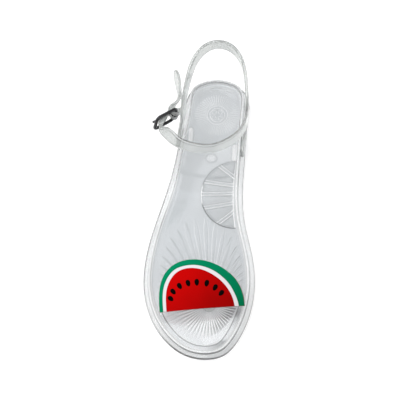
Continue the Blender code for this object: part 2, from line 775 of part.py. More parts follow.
def build():
    clear_scene()
    sandal = new_collection("toe_post_sandal")
    cutters = new_collection("cutters")
    cutters.hide_render = True
    root = bpy.data.objects.new("sandal_origin", None)
    sandal.objects.link(root)

    clear_pvc = (0.86, 0.89, 0.90)
    clear = finish("clear_pvc", clear_pvc, 0.08, clear=0.9)
    strap_clear = finish("strap_pvc", clear_pvc, 0.10, clear=0.9)
    post_clear = finish("post_pvc", clear_pvc, 0.10, clear=0.9)
    green = finish("rind_green", (0.0, 0.22, 0.08), 0.35)
    white = finish("pith_white", (0.88, 0.86, 0.86), 0.35)
    red = finish("flesh_red", (0.62, 0.0, 0.003), 0.30)
    black = finish("seed_black", (0.01, 0.007, 0.007), 0.30)
    chrome = finish("buckle_chrome", (0.55, 0.55, 0.56), 0.12, metallic=1.0)
    steel = finish("prong_chrome", (0.50, 0.50, 0.51), 0.15, metallic=1.0)

    pieces = [
        place(make_sole(), sandal, clear, root),
        place(make_upper(cutters), sandal, strap_clear, root),
        place(make_post(), sandal, post_clear, root),
        place(make_ring("fruit_rind", WHOLE_SLICE, PITH_EDGE), sandal, green, root),
        place(make_ring("fruit_pith", PITH_EDGE, FLESH_EDGE), sandal, white, root),
        place(make_flesh(cutters), sandal, red, root),
        place(wire("buckle_frame", frame_path(), WIRE_RADIUS, True), sandal, chrome, root),
        place(wire("buckle_prong", prong_path(PRONG_OVERHANG), PRONG_RADIUS, False), sandal, steel, root),
    ]
    for number, row in enumerate(SEEDS, start=1):
        pieces.append(place(make_seed(f"seed_{number}", row, 0.0, SEED_PROUD), sandal, black, root))

    low, high = bounds_of(pieces)
    root.location = (-(low[0] + high[0]) / 2.0, -(low[1] + high[1]) / 2.0, -low[2])
    bpy.data.collections.remove(cutters)


build()
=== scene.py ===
# %% [markdown]
# # A clear moulded sandal with a slice of watermelon on its toe post
# The solid parts of the sandal come in first. They are coarse but exact, so every piece below is
# made again from the same tables with many more steps, and then stands in for its solid.

# %% Bring in the solid parts
import math
from collections import namedtuple

import bmesh
import bpy
import numpy as np
from mathutils import Matrix, Vector
from mathutils.kdtree import KDTree


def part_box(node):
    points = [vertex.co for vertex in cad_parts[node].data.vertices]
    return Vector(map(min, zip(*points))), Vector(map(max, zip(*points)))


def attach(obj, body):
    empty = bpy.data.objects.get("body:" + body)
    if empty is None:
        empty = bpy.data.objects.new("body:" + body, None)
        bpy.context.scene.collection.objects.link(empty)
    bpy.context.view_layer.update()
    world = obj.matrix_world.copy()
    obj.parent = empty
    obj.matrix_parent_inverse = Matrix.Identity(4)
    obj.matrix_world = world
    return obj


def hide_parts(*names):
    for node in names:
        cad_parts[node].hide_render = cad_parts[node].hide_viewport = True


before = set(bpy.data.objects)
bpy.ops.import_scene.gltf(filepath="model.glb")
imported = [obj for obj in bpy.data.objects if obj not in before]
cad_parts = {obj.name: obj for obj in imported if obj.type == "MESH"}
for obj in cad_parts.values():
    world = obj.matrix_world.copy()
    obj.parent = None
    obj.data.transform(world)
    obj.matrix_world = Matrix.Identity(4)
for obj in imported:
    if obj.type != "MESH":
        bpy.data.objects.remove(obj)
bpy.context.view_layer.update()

MM = 0.001
print("solids:", sorted(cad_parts))

# %% [markdown]
# ## Smooth curves through a few rows
# All lengths are millimetres in the maker's own frame: x runs from the outer to the inner side of
# the foot, from_toe runs back from the tip of the sole, and z is the height over the floor.
# A handful of rows per curve is enough, because one cubic spline is drawn through them. It is
# written out here instead of using a Bezier object, because the side wall and the bands need
# points and directions at chosen lengths.

# %% Tables and curves
def table(columns, *rows):
    """A short table whose columns have names."""
    kind = namedtuple("Row", columns)
    return [kind(*row) for row in rows]


def smooth_step(low, high, value):
    """0 below low, 1 above high, and smooth between."""
    share = np.clip((value - low) / (high - low), 0.0, 1.0)
    return share * share * (3.0 - 2.0 * share)


def smooth_curve(points, closed=False, place_columns=3):
    """A cubic curve through the points, as a function of the length along their chords."""
    pts = np.array(points, dtype=float)
    if closed:
        pts = np.vstack([pts, pts[:1]])
    step = np.linalg.norm(np.diff(pts[:, :place_columns], axis=0), axis=1)
    knots = np.concatenate([[0.0], np.cumsum(step)])
    count = len(pts)
    slope = np.diff(pts, axis=0) / step[:, None]
    matrix = np.zeros((count, count))
    known = np.zeros_like(pts)
    inner = np.arange(1, count - 1)
    matrix[inner, inner - 1] = step[:-1]
    matrix[inner, inner] = 2.0 * (step[:-1] + step[1:])
    matrix[inner, inner + 1] = step[1:]
    known[inner] = 6.0 * np.diff(slope, axis=0)
    matrix[0, 0] = 1.0
    matrix[-1, -1] = 1.0
    if closed:
        matrix[0, -1] = -1.0
        matrix[-1] = 0.0
        matrix[-1, 0] = 2.0 * step[0]
        matrix[-1, 1] = step[0]
        matrix[-1, -2] = step[-1]
        matrix[-1, -1] = 2.0 * step[-1]
        known[-1] = 6.0 * (slope[0] - slope[-1])
    bend = np.linalg.solve(matrix, known)

    def at(length):
        i = int(min(max(np.searchsorted(knots, length) - 1, 0), count - 2))
        ahead = knots[i + 1] - length
        behind = length - knots[i]
        cubic = (bend[i] * ahead**3 + bend[i + 1] * behind**3) / (6.0 * step[i])
        left = (pts[i] / step[i] - bend[i] * step[i] / 6.0) * ahead
        right = (pts[i + 1] / step[i] - bend[i + 1] * step[i] / 6.0) * behind
        return cubic + left + right

    return at, knots


half_way = smooth_curve([(0.0, 0.0), (1.0, 1.0), (2.0, 0.0)], place_columns=1)[0](0.5)
print("a curve over one hump, half way up:", half_way.round(3))

# %% Outline of the sole
PROBE = 0.2
COARSE_STEPS = 54
SOLE_OUTLINE = table(
    "from_toe lateral medial",
    (0.0, 7.0, 7.0), (4.0, -10.9, 22.8), (16.8, -27.3, 33.8), (36.4, -39.9, 42.4),
    (63.0, -46.2, 46.8), (90.0, -44.6, 44.2), (119.0, -37.6, 37.8), (147.0, -28.9, 36.3),
    (175.0, -23.6, 37.8), (200.0, -19.8, 39.3), (220.0, -17.0, 41.0), (233.0, -15.6, 40.8),
    (242.5, -11.6, 35.9), (248.8, -1.4, 25.7), (251.2, 12.0, 12.0),
)
SOLE_LENGTH = SOLE_OUTLINE[-1].from_toe


def sole_outline(side_steps):
    """Points and outward directions: down the outer side to the toe, back up the inner side."""
    toe, *sides, heel = SOLE_OUTLINE
    outer = [(row.lateral, row.from_toe) for row in (heel, *reversed(sides), toe)]
    inner = [(row.medial, row.from_toe) for row in sides]
    curve, knots = smooth_curve(outer + inner, closed=True, place_columns=2)
    toe_length = knots[len(outer) - 1]
    whole = knots[-1]
    outer_side = np.linspace(0.0, toe_length, side_steps + 1)
    inner_side = np.linspace(toe_length, whole, side_steps + 1)
    lengths = np.concatenate([outer_side[:-1], inner_side[:-1]])
    points = np.array([curve(s) for s in lengths])
    ahead = np.array([curve((s + PROBE) % whole) for s in lengths])
    behind = np.array([curve((s - PROBE) % whole) for s in lengths])
    along = ahead - behind
    along /= np.linalg.norm(along, axis=1)[:, None]
    outward = np.column_stack([along[:, 1], -along[:, 0]])
    return points, outward


coarse_outline, coarse_outward = sole_outline(COARSE_STEPS)
outline_x = coarse_outline[:, 0]
sole_low, sole_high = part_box("sole")
shift_x = (sole_low.x + sole_high.x) / 2.0 / MM - (outline_x.min() + outline_x.max()) / 2.0
shift_y = (sole_low.y + sole_high.y) / 2.0 / MM - SOLE_LENGTH / 2.0
FRAME_SHIFT = np.array([shift_x, shift_y, 0.0])
print("frame shift in mm:", FRAME_SHIFT.round(3))

# %% Meshes
def in_frame(points):
    """Points of the maker's frame, in millimetres, moved into the shared frame in metres."""
    return (np.asarray(points, dtype=float) + FRAME_SHIFT) * MM


def put_in_scene(name, data):
    thing = bpy.data.objects.new(name, data)
    bpy.context.scene.collection.objects.link(thing)
    return thing


def turn_outwards(mesh, weld):
    """Merge doubled points, turn the faces outwards and shade them smoothly."""
    shape = bmesh.new()
    shape.from_mesh(mesh)
    if weld:
        bmesh.ops.remove_doubles(shape, verts=shape.verts, dist=weld * MM)
    bmesh.ops.recalc_face_normals(shape, faces=shape.faces)
    shape.to_mesh(mesh)
    shape.free()
    mesh.shade_smooth()


def new_piece(name, points, faces, sharp=None, weld=0.0):
    """A mesh object from points in the maker's frame, with its faces turned outwards."""
    mesh = bpy.data.meshes.new(name)
    mesh.from_pydata(in_frame(points).tolist(), [], faces)
    turn_outwards(mesh, weld)
    if sharp:
        mesh.set_sharp_from_angle(angle=math.radians(sharp))
    return put_in_scene(name, mesh)


def loft(name, rings, closed=False, **edges):
    """A skin over a row of rings of points, with its ends capped or joined to each other."""
    count = len(rings)
    sides = len(rings[0])
    index = np.arange(count * sides).reshape(count, sides).tolist()
    faces = [] if closed else [tuple(index[0]), tuple(reversed(index[-1]))]
    for one, two in zip(index, index[1:] + (index[:1] if closed else [])):
        for i in range(sides):
            j = (i + 1) % sides
            faces.append((one[i], one[j], two[j], two[i]))
    return new_piece(name, np.vstack(rings), faces, **edges)


def keep_numbers(thing, **numbers):
    """Keep a number on every point of a mesh, for a tree or a finish to read."""
    for name, values in numbers.items():
        thing.data.attributes.new(name, "FLOAT", "POINT").data.foreach_set("value", values)


def made_mesh(thing):
    """The plain mesh that an object's curve or modifiers make."""
    view = bpy.context.evaluated_depsgraph_get()
    return bpy.data.meshes.new_from_object(thing.evaluated_get(view))


def settle(thing):
    """Turn what the modifiers make into the object's own plain mesh."""
    mesh = made_mesh(thing)
    thing.modifiers.clear()
    thing.data = mesh


print("the tip of the toe lies at", in_frame([(SOLE_OUTLINE[0].medial, 0.0, 0.0)])[0].round(4))

# %% [markdown]
# ## Sums on node sockets
# The pattern of the footbed and the finishes are sums over positions. A small class lets a socket
# be added and multiplied like a number, so that a formula reads as a formula and not as a page of
# links. It works in Geometry Nodes and in shaders alike, because both share the Math node.

# %% Signals
LINE_CORE = 0.3


def two_ways(operation):
    """The methods for a sum and for its reflected form, as in mask - 1 and 1 - mask."""
    def forward(self, other):
        return self.math(operation, self, other)

    def reflected(self, other):
        return self.math(operation, other, self)

    return forward, reflected


def one_way(operation):
    """The method for a sum on the socket alone, or on the socket and one more value."""
    def method(self, other=0.0):
        return self.math(operation, self, other)

    return method


class Signal:
    """A node's output that can stand in a sum."""

    def __init__(self, socket):
        self.socket = socket

    @staticmethod
    def add(tree, kind, inputs=None, output=0, **settings):
        """Add any node to a tree, and hand back one of its outputs."""
        node = tree.nodes.new(kind)
        for name, value in settings.items():
            setattr(node, name, value)
        for key, value in (inputs or {}).items():
            if isinstance(value, Signal):
                tree.links.new(value.socket, node.inputs[key])
            else:
                node.inputs[key].default_value = value
        return Signal(node.outputs[output])

    def math(self, operation, first, second):
        inputs = {0: first, 1: second}
        return Signal.add(self.socket.id_data, "ShaderNodeMath", inputs, operation=operation)

    __add__, __radd__ = two_ways("ADD")
    __sub__, __rsub__ = two_ways("SUBTRACT")
    __mul__, __rmul__ = two_ways("MULTIPLY")
    __truediv__, __rtruediv__ = two_ways("DIVIDE")
    __abs__ = one_way("ABSOLUTE")
    root = one_way("SQRT")
    fraction = one_way("FRACT")
    sign = one_way("SIGN")
    least = one_way("MINIMUM")
    most = one_way("MAXIMUM")
    turn_from = one_way("ARCTAN2")

    def step(self, low, high):
        """0 below low, 1 above high, and smooth between."""
        tree = self.socket.id_data
        inputs = {"Value": self, "From Min": low, "From Max": high}
        return Signal.add(tree, "ShaderNodeMapRange", inputs, interpolation_type="SMOOTHSTEP")

    def window(self, rise, fall):
        """1 between a rise and a fall, and 0 outside them."""
        return self.step(*rise) * (1.0 - self.step(*fall))

    def between(self, low, high):
        """A value that is low where the signal is 0 and high where it is 1."""
        return low + self * (high - low)

    def ramp(self, start, end, low, high):
        """low below the start, high above the end, and smooth between."""
        return self.step(start, end).between(low, high)

    def line(self, width):
        """1 where the signal crosses zero, fading out to a width on either side."""
        return 1.0 - abs(self).step(LINE_CORE * width, width)


def axes(tree, vector):
    """The three numbers of a vector."""
    parts = Signal.add(tree, "ShaderNodeSeparateXYZ", {0: vector}).socket.node.outputs
    return [Signal(part) for part in parts]


def away(x, y, centre):
    """Distance of a position from a centre."""
    dx = x - centre[0]
    dy = y - centre[1]
    return (dx * dx + dy * dy).root()


def maker_place(tree, position):
    """A position's x and distance from the toe in the maker's frame."""
    x, y, _ = axes(tree, position)
    return x / MM - FRAME_SHIFT[0], y / MM - FRAME_SHIFT[1]


print("a signal can", [word for word in vars(Signal) if not word.startswith("_")])

# %% [markdown]
# ## The sole, loft by loft
# The real sole is one thick injection moulding of clear PVC. Its wall is the same stepped profile
# all the way round, so the outline is offset once per row of the profile and the rings are skinned.
# Cutting the corners of the profile once gives the soft edges that a mould leaves.
# The footbed is closed with fine strips, because its pattern is pressed in afterwards.

# %% Heights of the sole
BED_DISH = 0.8
ARCH_LIFT = 3.5
TOE_SPRING = 5.5
HEEL_BEVEL = 1.5
HEEL_FLAT = (182.0, 240.0)
FOREFOOT_FLAT = (38.0, 112.0)
MID_WAIST = 147.0
BED_SAMPLES = 500
BED = table(
    "from_toe height",
    (0.0, 13.2), (22.0, 10.0), (55.0, 8.2), (95.0, 8.4), (125.0, 10.4),
    (155.0, 13.6), (185.0, 15.2), (220.0, 15.2), (251.2, 16.4),
)

bed_curve = smooth_curve(BED, place_columns=1)[0]
bed_places = np.linspace(0.0, SOLE_LENGTH, BED_SAMPLES)
bed_line = np.array([bed_curve(place)[1] for place in bed_places])


def tread_height(from_toe):
    """The underside over the floor: raised at the waist, sprung at the toe, eased at the heel."""
    waist = smooth_step(FOREFOOT_FLAT[1], MID_WAIST, from_toe)
    waist = waist * smooth_step(HEEL_FLAT[0], MID_WAIST, from_toe)
    toe = np.maximum(FOREFOOT_FLAT[0] - from_toe, 0.0) / FOREFOOT_FLAT[0]
    heel = np.maximum(from_toe - HEEL_FLAT[1], 0.0) / (SOLE_LENGTH - HEEL_FLAT[1])
    return ARCH_LIFT * waist + TOE_SPRING * toe * toe + HEEL_BEVEL * heel * heel


def bed_edge_height(from_toe):
    return np.interp(from_toe, bed_places, bed_line)


def bed_height(from_toe, share):
    """Footbed over the floor; share runs from -1 at one edge to 1 at the other."""
    return bed_edge_height(from_toe) - BED_DISH * (1.0 - share * share)


print("footbed from", bed_line.min().round(1), "to", bed_line.max().round(1), "mm over the floor")

# %% Sole
SIDE_STEPS = 420
BED_STEPS = 140
TREAD_STEPS = 12
BED_INSET = 11.5
LIP_RISE = 3.0
CORNER_CUT = 0.25
WALL = table(
    "inset above rise",
    (9.0, "tread", 0.0), (2.6, "tread", 0.0), (1.1, "tread", 0.7), (0.2, "tread", 2.2),
    (0.0, "tread", 3.6), (0.3, "tread", 4.8), (1.2, "tread", 5.5), (3.6, "tread", 5.9),
    (4.1, "tread", 6.4), (4.2, "bed", 1.4), (4.7, "bed", 2.2), (5.9, "bed", 2.2),
    (6.5, "bed", 1.6), (7.0, "bed", 0.4), (8.2, "bed", 0.0), (11.0, "bed", 0.0),
)


def cut_corners(rings):
    """One round of corner cutting along the profile; its two ends stay."""
    out = [rings[0]]
    for one, two in zip(rings[:-1], rings[1:]):
        out.append((1.0 - CORNER_CUT) * one + CORNER_CUT * two)
        out.append(CORNER_CUT * one + (1.0 - CORNER_CUT) * two)
    out.append(rings[-1])
    return out


def strip_cap(rings, level, steps, height_at, first_new):
    """Points and faces that close a ring with strips from its outer to its inner side."""
    ring = rings[level]
    count = len(ring)
    side = count // 2
    left = ring[1:side]
    right = ring[:side:-1]
    share = np.arange(1, steps) / steps
    grid = left[:, None, :] + (right - left)[:, None, :] * share[None, :, None]
    grid[:, :, 2] = height_at(grid[:, :, 1], 2.0 * share[None, :] - 1.0)
    start = level * count
    index = np.zeros((side - 1, steps + 1), dtype=int)
    index[:, 0] = start + np.arange(1, side)
    index[:, -1] = start + count - np.arange(1, side)
    index[:, 1:-1] = first_new + np.arange((side - 1) * (steps - 1)).reshape(side - 1, steps - 1)
    corners = [index[:-1, :-1], index[:-1, 1:], index[1:, 1:], index[1:, :-1]]
    faces = np.stack(corners, axis=-1).reshape(-1, 4).tolist()
    for tip, row in ((start, index[0]), (start + side, index[-1])):
        faces.extend((tip, int(row[k]), int(row[k + 1])) for k in range(steps))
    return grid.reshape(-1, 3), faces


def make_sole():
    """The moulding, with each point's inset from the outline kept for the pattern and finish."""
    edge, outward = sole_outline(SIDE_STEPS)
    count = len(edge)
    rings = []
    for row in WALL:
        ring = edge - outward * row.inset
        from_toe = ring[:, 1]
        base = tread_height(from_toe) if row.above == "tread" else bed_edge_height(from_toe)
        inset = row.inset if row.above == "bed" or row.rise > LIP_RISE else 0.0
        rings.append(np.column_stack([ring, base + row.rise, np.full(count, inset)]))
    rings = cut_corners(rings)
    insets = np.concatenate([ring[:, 3] for ring in rings])
    rings = [ring[:, :3] for ring in rings]
    points = np.vstack(rings)
    here = np.arange(count)
    ahead = (here + 1) % count
    faces = []
    for level in range(len(rings) - 1):
        low = level * count
        high = low + count
        wall = np.column_stack([low + here, low + ahead, high + ahead, high + here])
        faces.extend(wall.tolist())
    top_level = len(rings) - 1
    under, under_faces = strip_cap(rings, 0, TREAD_STEPS, lambda f, s: tread_height(f), len(points))
    first_top = len(points) + len(under)
    top, top_faces = strip_cap(rings, top_level, BED_STEPS, bed_height, first_top)
    all_points = np.vstack([points, under, top])
    sole = new_piece("clear_sole", all_points, faces + under_faces + top_faces)
    insets = np.concatenate([insets, np.zeros(len(under)), np.full(len(top), BED_INSET)])
    keep_numbers(sole, inset=insets)
    return sole


sole = make_sole()
print("sole:", len(sole.data.vertices), "points")

# %% [markdown]
# ## The pattern of the footbed, as formulas
# The mould leaves a sunburst round the post, a rosette under the heel, a half-disc of shallow
# pockets beside the arch, an oval boss and two lugs. Each follows a rule in x and y, so each is a
# formula that gives the distance inside its outline. The formulas come first because two things use
# them: the tree that presses the pattern into the mesh, and the finish that paints highlights and
# shade along its edges.

# %% Sunburst and rosette
RAY_COUNT = 52
RAY_CENTRE = (9.3, 44.8)
RAY_OVAL_MIDDLE = (1.5, 68.0)
RAY_OVAL_HALF = (35.5, 52.0)
RAY_START = (4.5, 7.5)
RAY_TIP = 9.0
RAY_SHARE = 0.28
ROSETTE_COUNT = 52
ROSETTE_CENTRE = (13.3, 213.9)
ROSETTE_RINGS = table("radius weight", (9.0, 0.9), (6.5, 0.7))
ROSETTE_RAYS = (10.2, 20.5)
ROSETTE_FADE = 2.0
ROSETTE_LINE = 0.42
ROSETTE_CORE = 0.1
WREATH_WEIGHT = (2.0, 16.0, 0.35, 0.75)
LEAF_SPOT = (2.8, 2.8)
LEAF_RADIUS = 1.9
LEAF_WEIGHT = 0.55


def spokes(x, y, centre, count):
    """Distance from a centre, and the place across a spoke: 0 in its middle, a half at its limits."""
    turn = (y - centre[1]).turn_from(x - centre[0])
    return away(x, y, centre), (turn * count / math.tau).fraction() - 0.5


def in_oval(x, y, middle, half):
    """1 in the middle of an oval, 0 on its outline."""
    ox = (x - middle[0]) / half[0]
    oy = (y - middle[1]) / half[1]
    return 1.0 - (ox * ox + oy * oy).root()


def sunburst(x, y, count):
    """Distances inside a ray and from the ring of tips, where rays show, and which way they look.

    The last one is how far a ray's flank looks to the heel.
    """
    reach, place = spokes(x, y, RAY_CENTRE, count)
    inside = in_oval(x, y, RAY_OVAL_MIDDLE, RAY_OVAL_HALF) * RAY_OVAL_HALF[0]
    tip = (inside / RAY_TIP).most(0.0).least(1.0).root()
    ray = (tip * RAY_SHARE - abs(place)) * reach * math.tau / count
    shown = reach.step(*RAY_START) * inside.step(0.0, 1.0)
    return ray, inside, shown, place.sign() * (x - RAY_CENTRE[0]) / reach


def rosette(x, y, count):
    """Height of the heel rosette: two rings, four leaves and a wreath of short rays."""
    reach, place = spokes(x, y, ROSETTE_CENTRE, count)
    ray = 1.0 - (abs(place) * reach * math.tau / count).step(ROSETTE_CORE, ROSETTE_LINE)
    ray = ray * reach.step(ROSETTE_RAYS[0] - ROSETTE_LINE, ROSETTE_RAYS[0])
    ray = ray * (1.0 - reach.step(ROSETTE_RAYS[1] - ROSETTE_FADE, ROSETTE_RAYS[1]))
    slant = abs(y - x - ROSETTE_CENTRE[1] + ROSETTE_CENTRE[0])
    height = ray * slant.ramp(*WREATH_WEIGHT)
    for ring in ROSETTE_RINGS:
        height = height.most((reach - ring.radius).line(ROSETTE_LINE) * ring.weight)
    leaf_way = away(abs(x - ROSETTE_CENTRE[0]), abs(y - ROSETTE_CENTRE[1]), LEAF_SPOT)
    return height.most((leaf_way - LEAF_RADIUS).line(ROSETTE_LINE) * LEAF_WEIGHT)


print("sunburst of", RAY_COUNT, "rays, rosette of", ROSETTE_COUNT)

# %% Arch pad, boss and lugs
PAD_CENTRE = (30.0, 140.0)
PAD_RADIUS = 29.3
PAD_SIDE = (28.1, 138.0)
PAD_SIDE_BOW = 0.0027
RIB_HALF = 1.25
RIBS = table(
    "x0 y0 x1 y1",
    (18.3, 163.9, 28.3, 155.8),
    (5.0, 151.6, 26.9, 148.2),
    (1.9, 140.9, 27.9, 141.0),
    (2.6, 128.7, 27.1, 132.3),
    (18.1, 117.1, 28.1, 124.7),
)
BOSS_CENTRE = (8.9, 172.6)
BOSS_HALF = (5.2, 4.3)
LUGS = table("x y0 y1 half", (-9.6, 190.0, 199.6, 2.1), (29.6, 172.0, 182.0, 3.2))


def arch_pad(x, y):
    """Distances inside the pad's arc and its straight side, and outside its nearest rib."""
    off = y - PAD_SIDE[1]
    side = off * off * PAD_SIDE_BOW + PAD_SIDE[0] - x
    arc = PAD_RADIUS - away(x, y, PAD_CENTRE)
    nearest = None
    for rib in RIBS:
        length = math.hypot(rib.x1 - rib.x0, rib.y1 - rib.y0)
        over = (x - rib.x0) * ((rib.y0 - rib.y1) / length)
        over = over + (y - rib.y0) * ((rib.x1 - rib.x0) / length)
        outside = abs(over) - RIB_HALF
        nearest = nearest.least(outside) if nearest else outside
    return arc, side, nearest


def boss_and_lugs(x, y):
    """Distances inside the oval boss and inside the nearest of the round-ended lugs."""
    boss = in_oval(x, y, BOSS_CENTRE, BOSS_HALF) * BOSS_HALF[1]
    lugs = []
    for row in LUGS:
        over = (abs(y - (row.y0 + row.y1) / 2.0) - (row.y1 - row.y0) / 2.0).most(0.0)
        dx = x - row.x
        lugs.append(row.half - (dx * dx + over * over).root())
    return boss, lugs[0].most(lugs[1])


print("pad of", len(RIBS), "ribs, one boss,", len(LUGS), "lugs")

# %% [markdown]
# ## Clear PVC
# Soft clear PVC is a little hazy and never quite colourless. It is refracting plastic that is greyer
# where the eye looks through more of it: in the thick footbed and along every steep wall, where the
# finish also paints shade for the light that walls seen edge-on bend away. The pockets, the toe
# border and a ring round the post's foot get painted shade too. The edges of a pressed pattern throw
# the light aside, so they show as fine pale and dark lines. Refraction alone draws them too softly at
# this size, so the finish paints them from the same formulas, as highlights and shade.

# %% Lines of the pattern
# Widths and strengths of the painted highlights (pale) and painted shade (dark) along the pattern.
LINE_HALF = 0.6
RAY_LINE = 0.30
RAY_TIPS = (4.0, 11.0)
TIP_DARKNESS = (5.0, 20.0, 0.3, 0.9)
PALE_FLANKS = (0.15, 0.5)
DARK_FLANKS = (0.05, 0.35)
TOE_RAYS_FADE = (15.0, 32.0)
PAD_LINE = 0.42
PAD_PALE_ARC = (6.0, 10.0)
PAD_ARC_DARKNESS = (PAD_CENTRE[1] - 10.0, PAD_CENTRE[1] + 10.0, 1.0, 0.6)
POCKET_SHADE_RAMP = (4.0, 24.0, 0.6, 1.0)
PALE = {"flanks": 0.5, "toe rays": 0.9, "rosette": 0.85, "boss": 0.25, "lugs": 0.7}
DARK = {"rib cores": 0.3, "boss": 0.1, "lugs": 0.4}


def sunburst_lines(x, y):
    """Painted highlights and shade on the rays' flanks, and bolder painted rays in front of the toes.
    """
    ray, inside, shown, to_heel = sunburst(x, y, RAY_COUNT)
    flank = ray.line(RAY_LINE) * shown
    pale = flank * (1.0 - abs(to_heel).step(*PALE_FLANKS)) * PALE["flanks"]
    near_tip = (1.0 - inside.step(*RAY_TIPS)) * x.ramp(*TIP_DARKNESS)
    dark = flank * to_heel.step(*DARK_FLANKS) * near_tip
    under_toes = shown * (1.0 - away(x, y, RAY_CENTRE).step(*TOE_RAYS_FADE))
    pale = pale.most(ray.step(0.0, LINE_HALF) * under_toes * PALE["toe rays"])
    return pale, dark.most((1.0 - ray.step(-LINE_HALF, 0.0)) * under_toes)


def pad_lines(x, y):
    """Painted highlights and shade on ribs and outline, and where the sunk pockets get painted shade.
    """
    arc, side, rib = arch_pad(x, y)
    in_side = side.step(-LINE_HALF, 0.0)
    on_pad = arc.step(0.0, LINE_HALF) * in_side
    pale = rib.line(PAD_LINE).most(side.line(1.5 * PAD_LINE)) * on_pad
    dark = (1.0 - rib.step(-3.0 * PAD_LINE, -PAD_LINE)) * on_pad * DARK["rib cores"]
    outline = arc.line(LINE_HALF) * in_side
    middle = 1.0 - abs(y - PAD_CENTRE[1]).step(*PAD_PALE_ARC)
    pale = pale.most(outline * middle)
    dark = dark.most(outline * (1.0 - middle) * y.ramp(*PAD_ARC_DARKNESS))
    # Painted shade in the sunk pockets, darker towards the inner side.
    sunk = rib.step(0.0, LINE_HALF) * on_pad * x.ramp(*POCKET_SHADE_RAMP)
    return pale, dark, sunk


def pattern_lines(x, y):
    """Where the pattern's edges get painted highlights, where painted shade, and where the pockets
    are.
    """
    pale, dark = sunburst_lines(x, y)
    pad_pale, pad_dark, sunk = pad_lines(x, y)
    boss, lug = boss_and_lugs(x, y)
    pale = pale.most(rosette(x, y, ROSETTE_COUNT) * PALE["rosette"]).most(pad_pale)
    pale = pale.most(boss.step(0.0, 4.0 * LINE_HALF) * PALE["boss"])
    pale = pale.most(lug.step(0.0, LINE_HALF) * PALE["lugs"])
    dark = dark.most(pad_dark).most(boss.line(LINE_HALF) * DARK["boss"])
    dark = dark.most((lug + LINE_HALF).line(RAY_LINE) * DARK["lugs"])
    return pale, dark, sunk


print("lines of", len(PALE), "pale and", len(DARK), "dark kinds")

# %% Colour of the sole
BED_STARTS = (6.3, 8.2)
# Painted shade and a painted dark line on the toe border; the shade is darkest in two wedges.
TOE_BORDER = (38.0, 50.0)
TOE_BORDER_INSET = 10.6
TOE_BORDER_EASE = (TOE_BORDER_INSET - 0.6, TOE_BORDER_INSET + 0.2)
TOE_BORDER_LINE = 0.8
TOE_BORDER_SHADE = (0.12, 0.80)
TIP_SHADE_WEDGE = ((4.0, 22.0), (25.5, 27.0))
TIP_SHADE_WEDGE_ENDS = (14.0, 18.0)
INNER_SHADE_WEDGE_X = (26.0, 30.0)
INNER_SHADE_WEDGE_Y = (23.0, 40.0)
# Painted shade on the steep walls, the rim and the lip: where it lies and how dark it is.
TOE_END = (6.0, 40.0)
HEEL_END = (205.0, 235.0)
STEEP_WALL = (0.25, 0.85)
WALL_SHADE = (225.0, 245.0, 0.75, 1.0)
RIM_TOP = ((5.4, 5.9), (6.8, 7.3))
RIM_SHADE = (225.0, 243.0, 0.25, 0.65)
RIM_LINES = table("inset width weight", (4.55, 0.3, 1.0), (6.8, 0.3, 0.8))
LIP = ((0.2, 0.9), (3.4, 4.0))
LIP_LINE = (0.5, 0.5)
FOOT_SHADE = (5.0, 9.0)
LIGHTER_TOE = (20.0, 65.0)
LIGHTER_HEEL = (115.0, 165.0)
SHARE = {
    "toe wall": 0.35, "toe lip": 0.5, "rim": 0.9, "heel bed": 0.27,
    "pockets": 0.55, "post shadow": 0.2, "border line": 0.8,
}
HIGHLIGHT_WHITE = (1.0, 1.0, 1.0, 1.0)
BED_TINT = (0.44, 0.47, 0.495, 1.0)
BED_END_TINT = (0.80, 0.825, 0.845, 1.0)
POCKET_SHADE_TINT = (0.27, 0.29, 0.30, 1.0)
LINE_SHADE_TINT = (0.05, 0.053, 0.056, 1.0)
WALL_SHADE_TINT = (0.11, 0.12, 0.125, 1.0)
TOE_SHADE_TINT = (0.15, 0.16, 0.168, 1.0)
POST_SHADOW_TINT = (0.20, 0.165, 0.16, 1.0)


def mix_colour(tree, share, one, two):
    inputs = {0: share, 6: one, 7: two}
    return Signal.add(tree, "ShaderNodeMix", inputs, output=2, data_type="RGBA")


def tinted(tree, colour, *layers):
    """Lay tints over a colour one after the other, each by its own share."""
    for share, tint in layers:
        colour = mix_colour(tree, share, colour, tint)
    return colour


def own_place(tree):
    """The position in the object's own coordinates."""
    return Signal.add(tree, "ShaderNodeTexCoord", output=3)


def kept_number(tree, name):
    """A number that is kept on the mesh's points."""
    return Signal.add(tree, "ShaderNodeAttribute", output=2, attribute_name=name)


def toe_border(x, y, inset):
    """Painted shade on the sloping border in front of the toes, and a painted dark line along it."""
    front = 1.0 - y.step(*TOE_BORDER)
    border = 1.0 - inset.step(*TOE_BORDER_EASE)
    line = (inset - TOE_BORDER_INSET).line(TOE_BORDER_LINE)
    tip = x.window(*TIP_SHADE_WEDGE) * (1.0 - y.step(*TIP_SHADE_WEDGE_ENDS))
    inner = y.step(*INNER_SHADE_WEDGE_Y) * x.step(*INNER_SHADE_WEDGE_X)
    return border * front * tip.most(inner).between(*TOE_BORDER_SHADE), line * front


def wall_shade(tree, y, inset):
    """Painted shade on the side: steep walls, the rim at both ends and the lip round the tread."""
    normal = Signal.add(tree, "ShaderNodeTexCoord", output=1)
    level = abs(axes(tree, normal)[2])
    toe = 1.0 - y.step(*TOE_END)
    heel = y.step(*HEEL_END)
    steep = y.ramp(*WALL_SHADE) - toe * SHARE["toe wall"]
    steep = steep * (1.0 - level.step(*STEEP_WALL))
    rim = inset.window(*RIM_TOP) * y.ramp(*RIM_SHADE)
    for row in RIM_LINES:
        rim = rim.most((inset - row.inset).line(row.width) * row.weight)
    lip = inset.window(*LIP) * toe * SHARE["toe lip"]
    lip = lip.most((inset - LIP_LINE[0]).line(LIP_LINE[1]) * heel)
    return steep.most(rim * toe.most(heel) * SHARE["rim"]).most(lip)


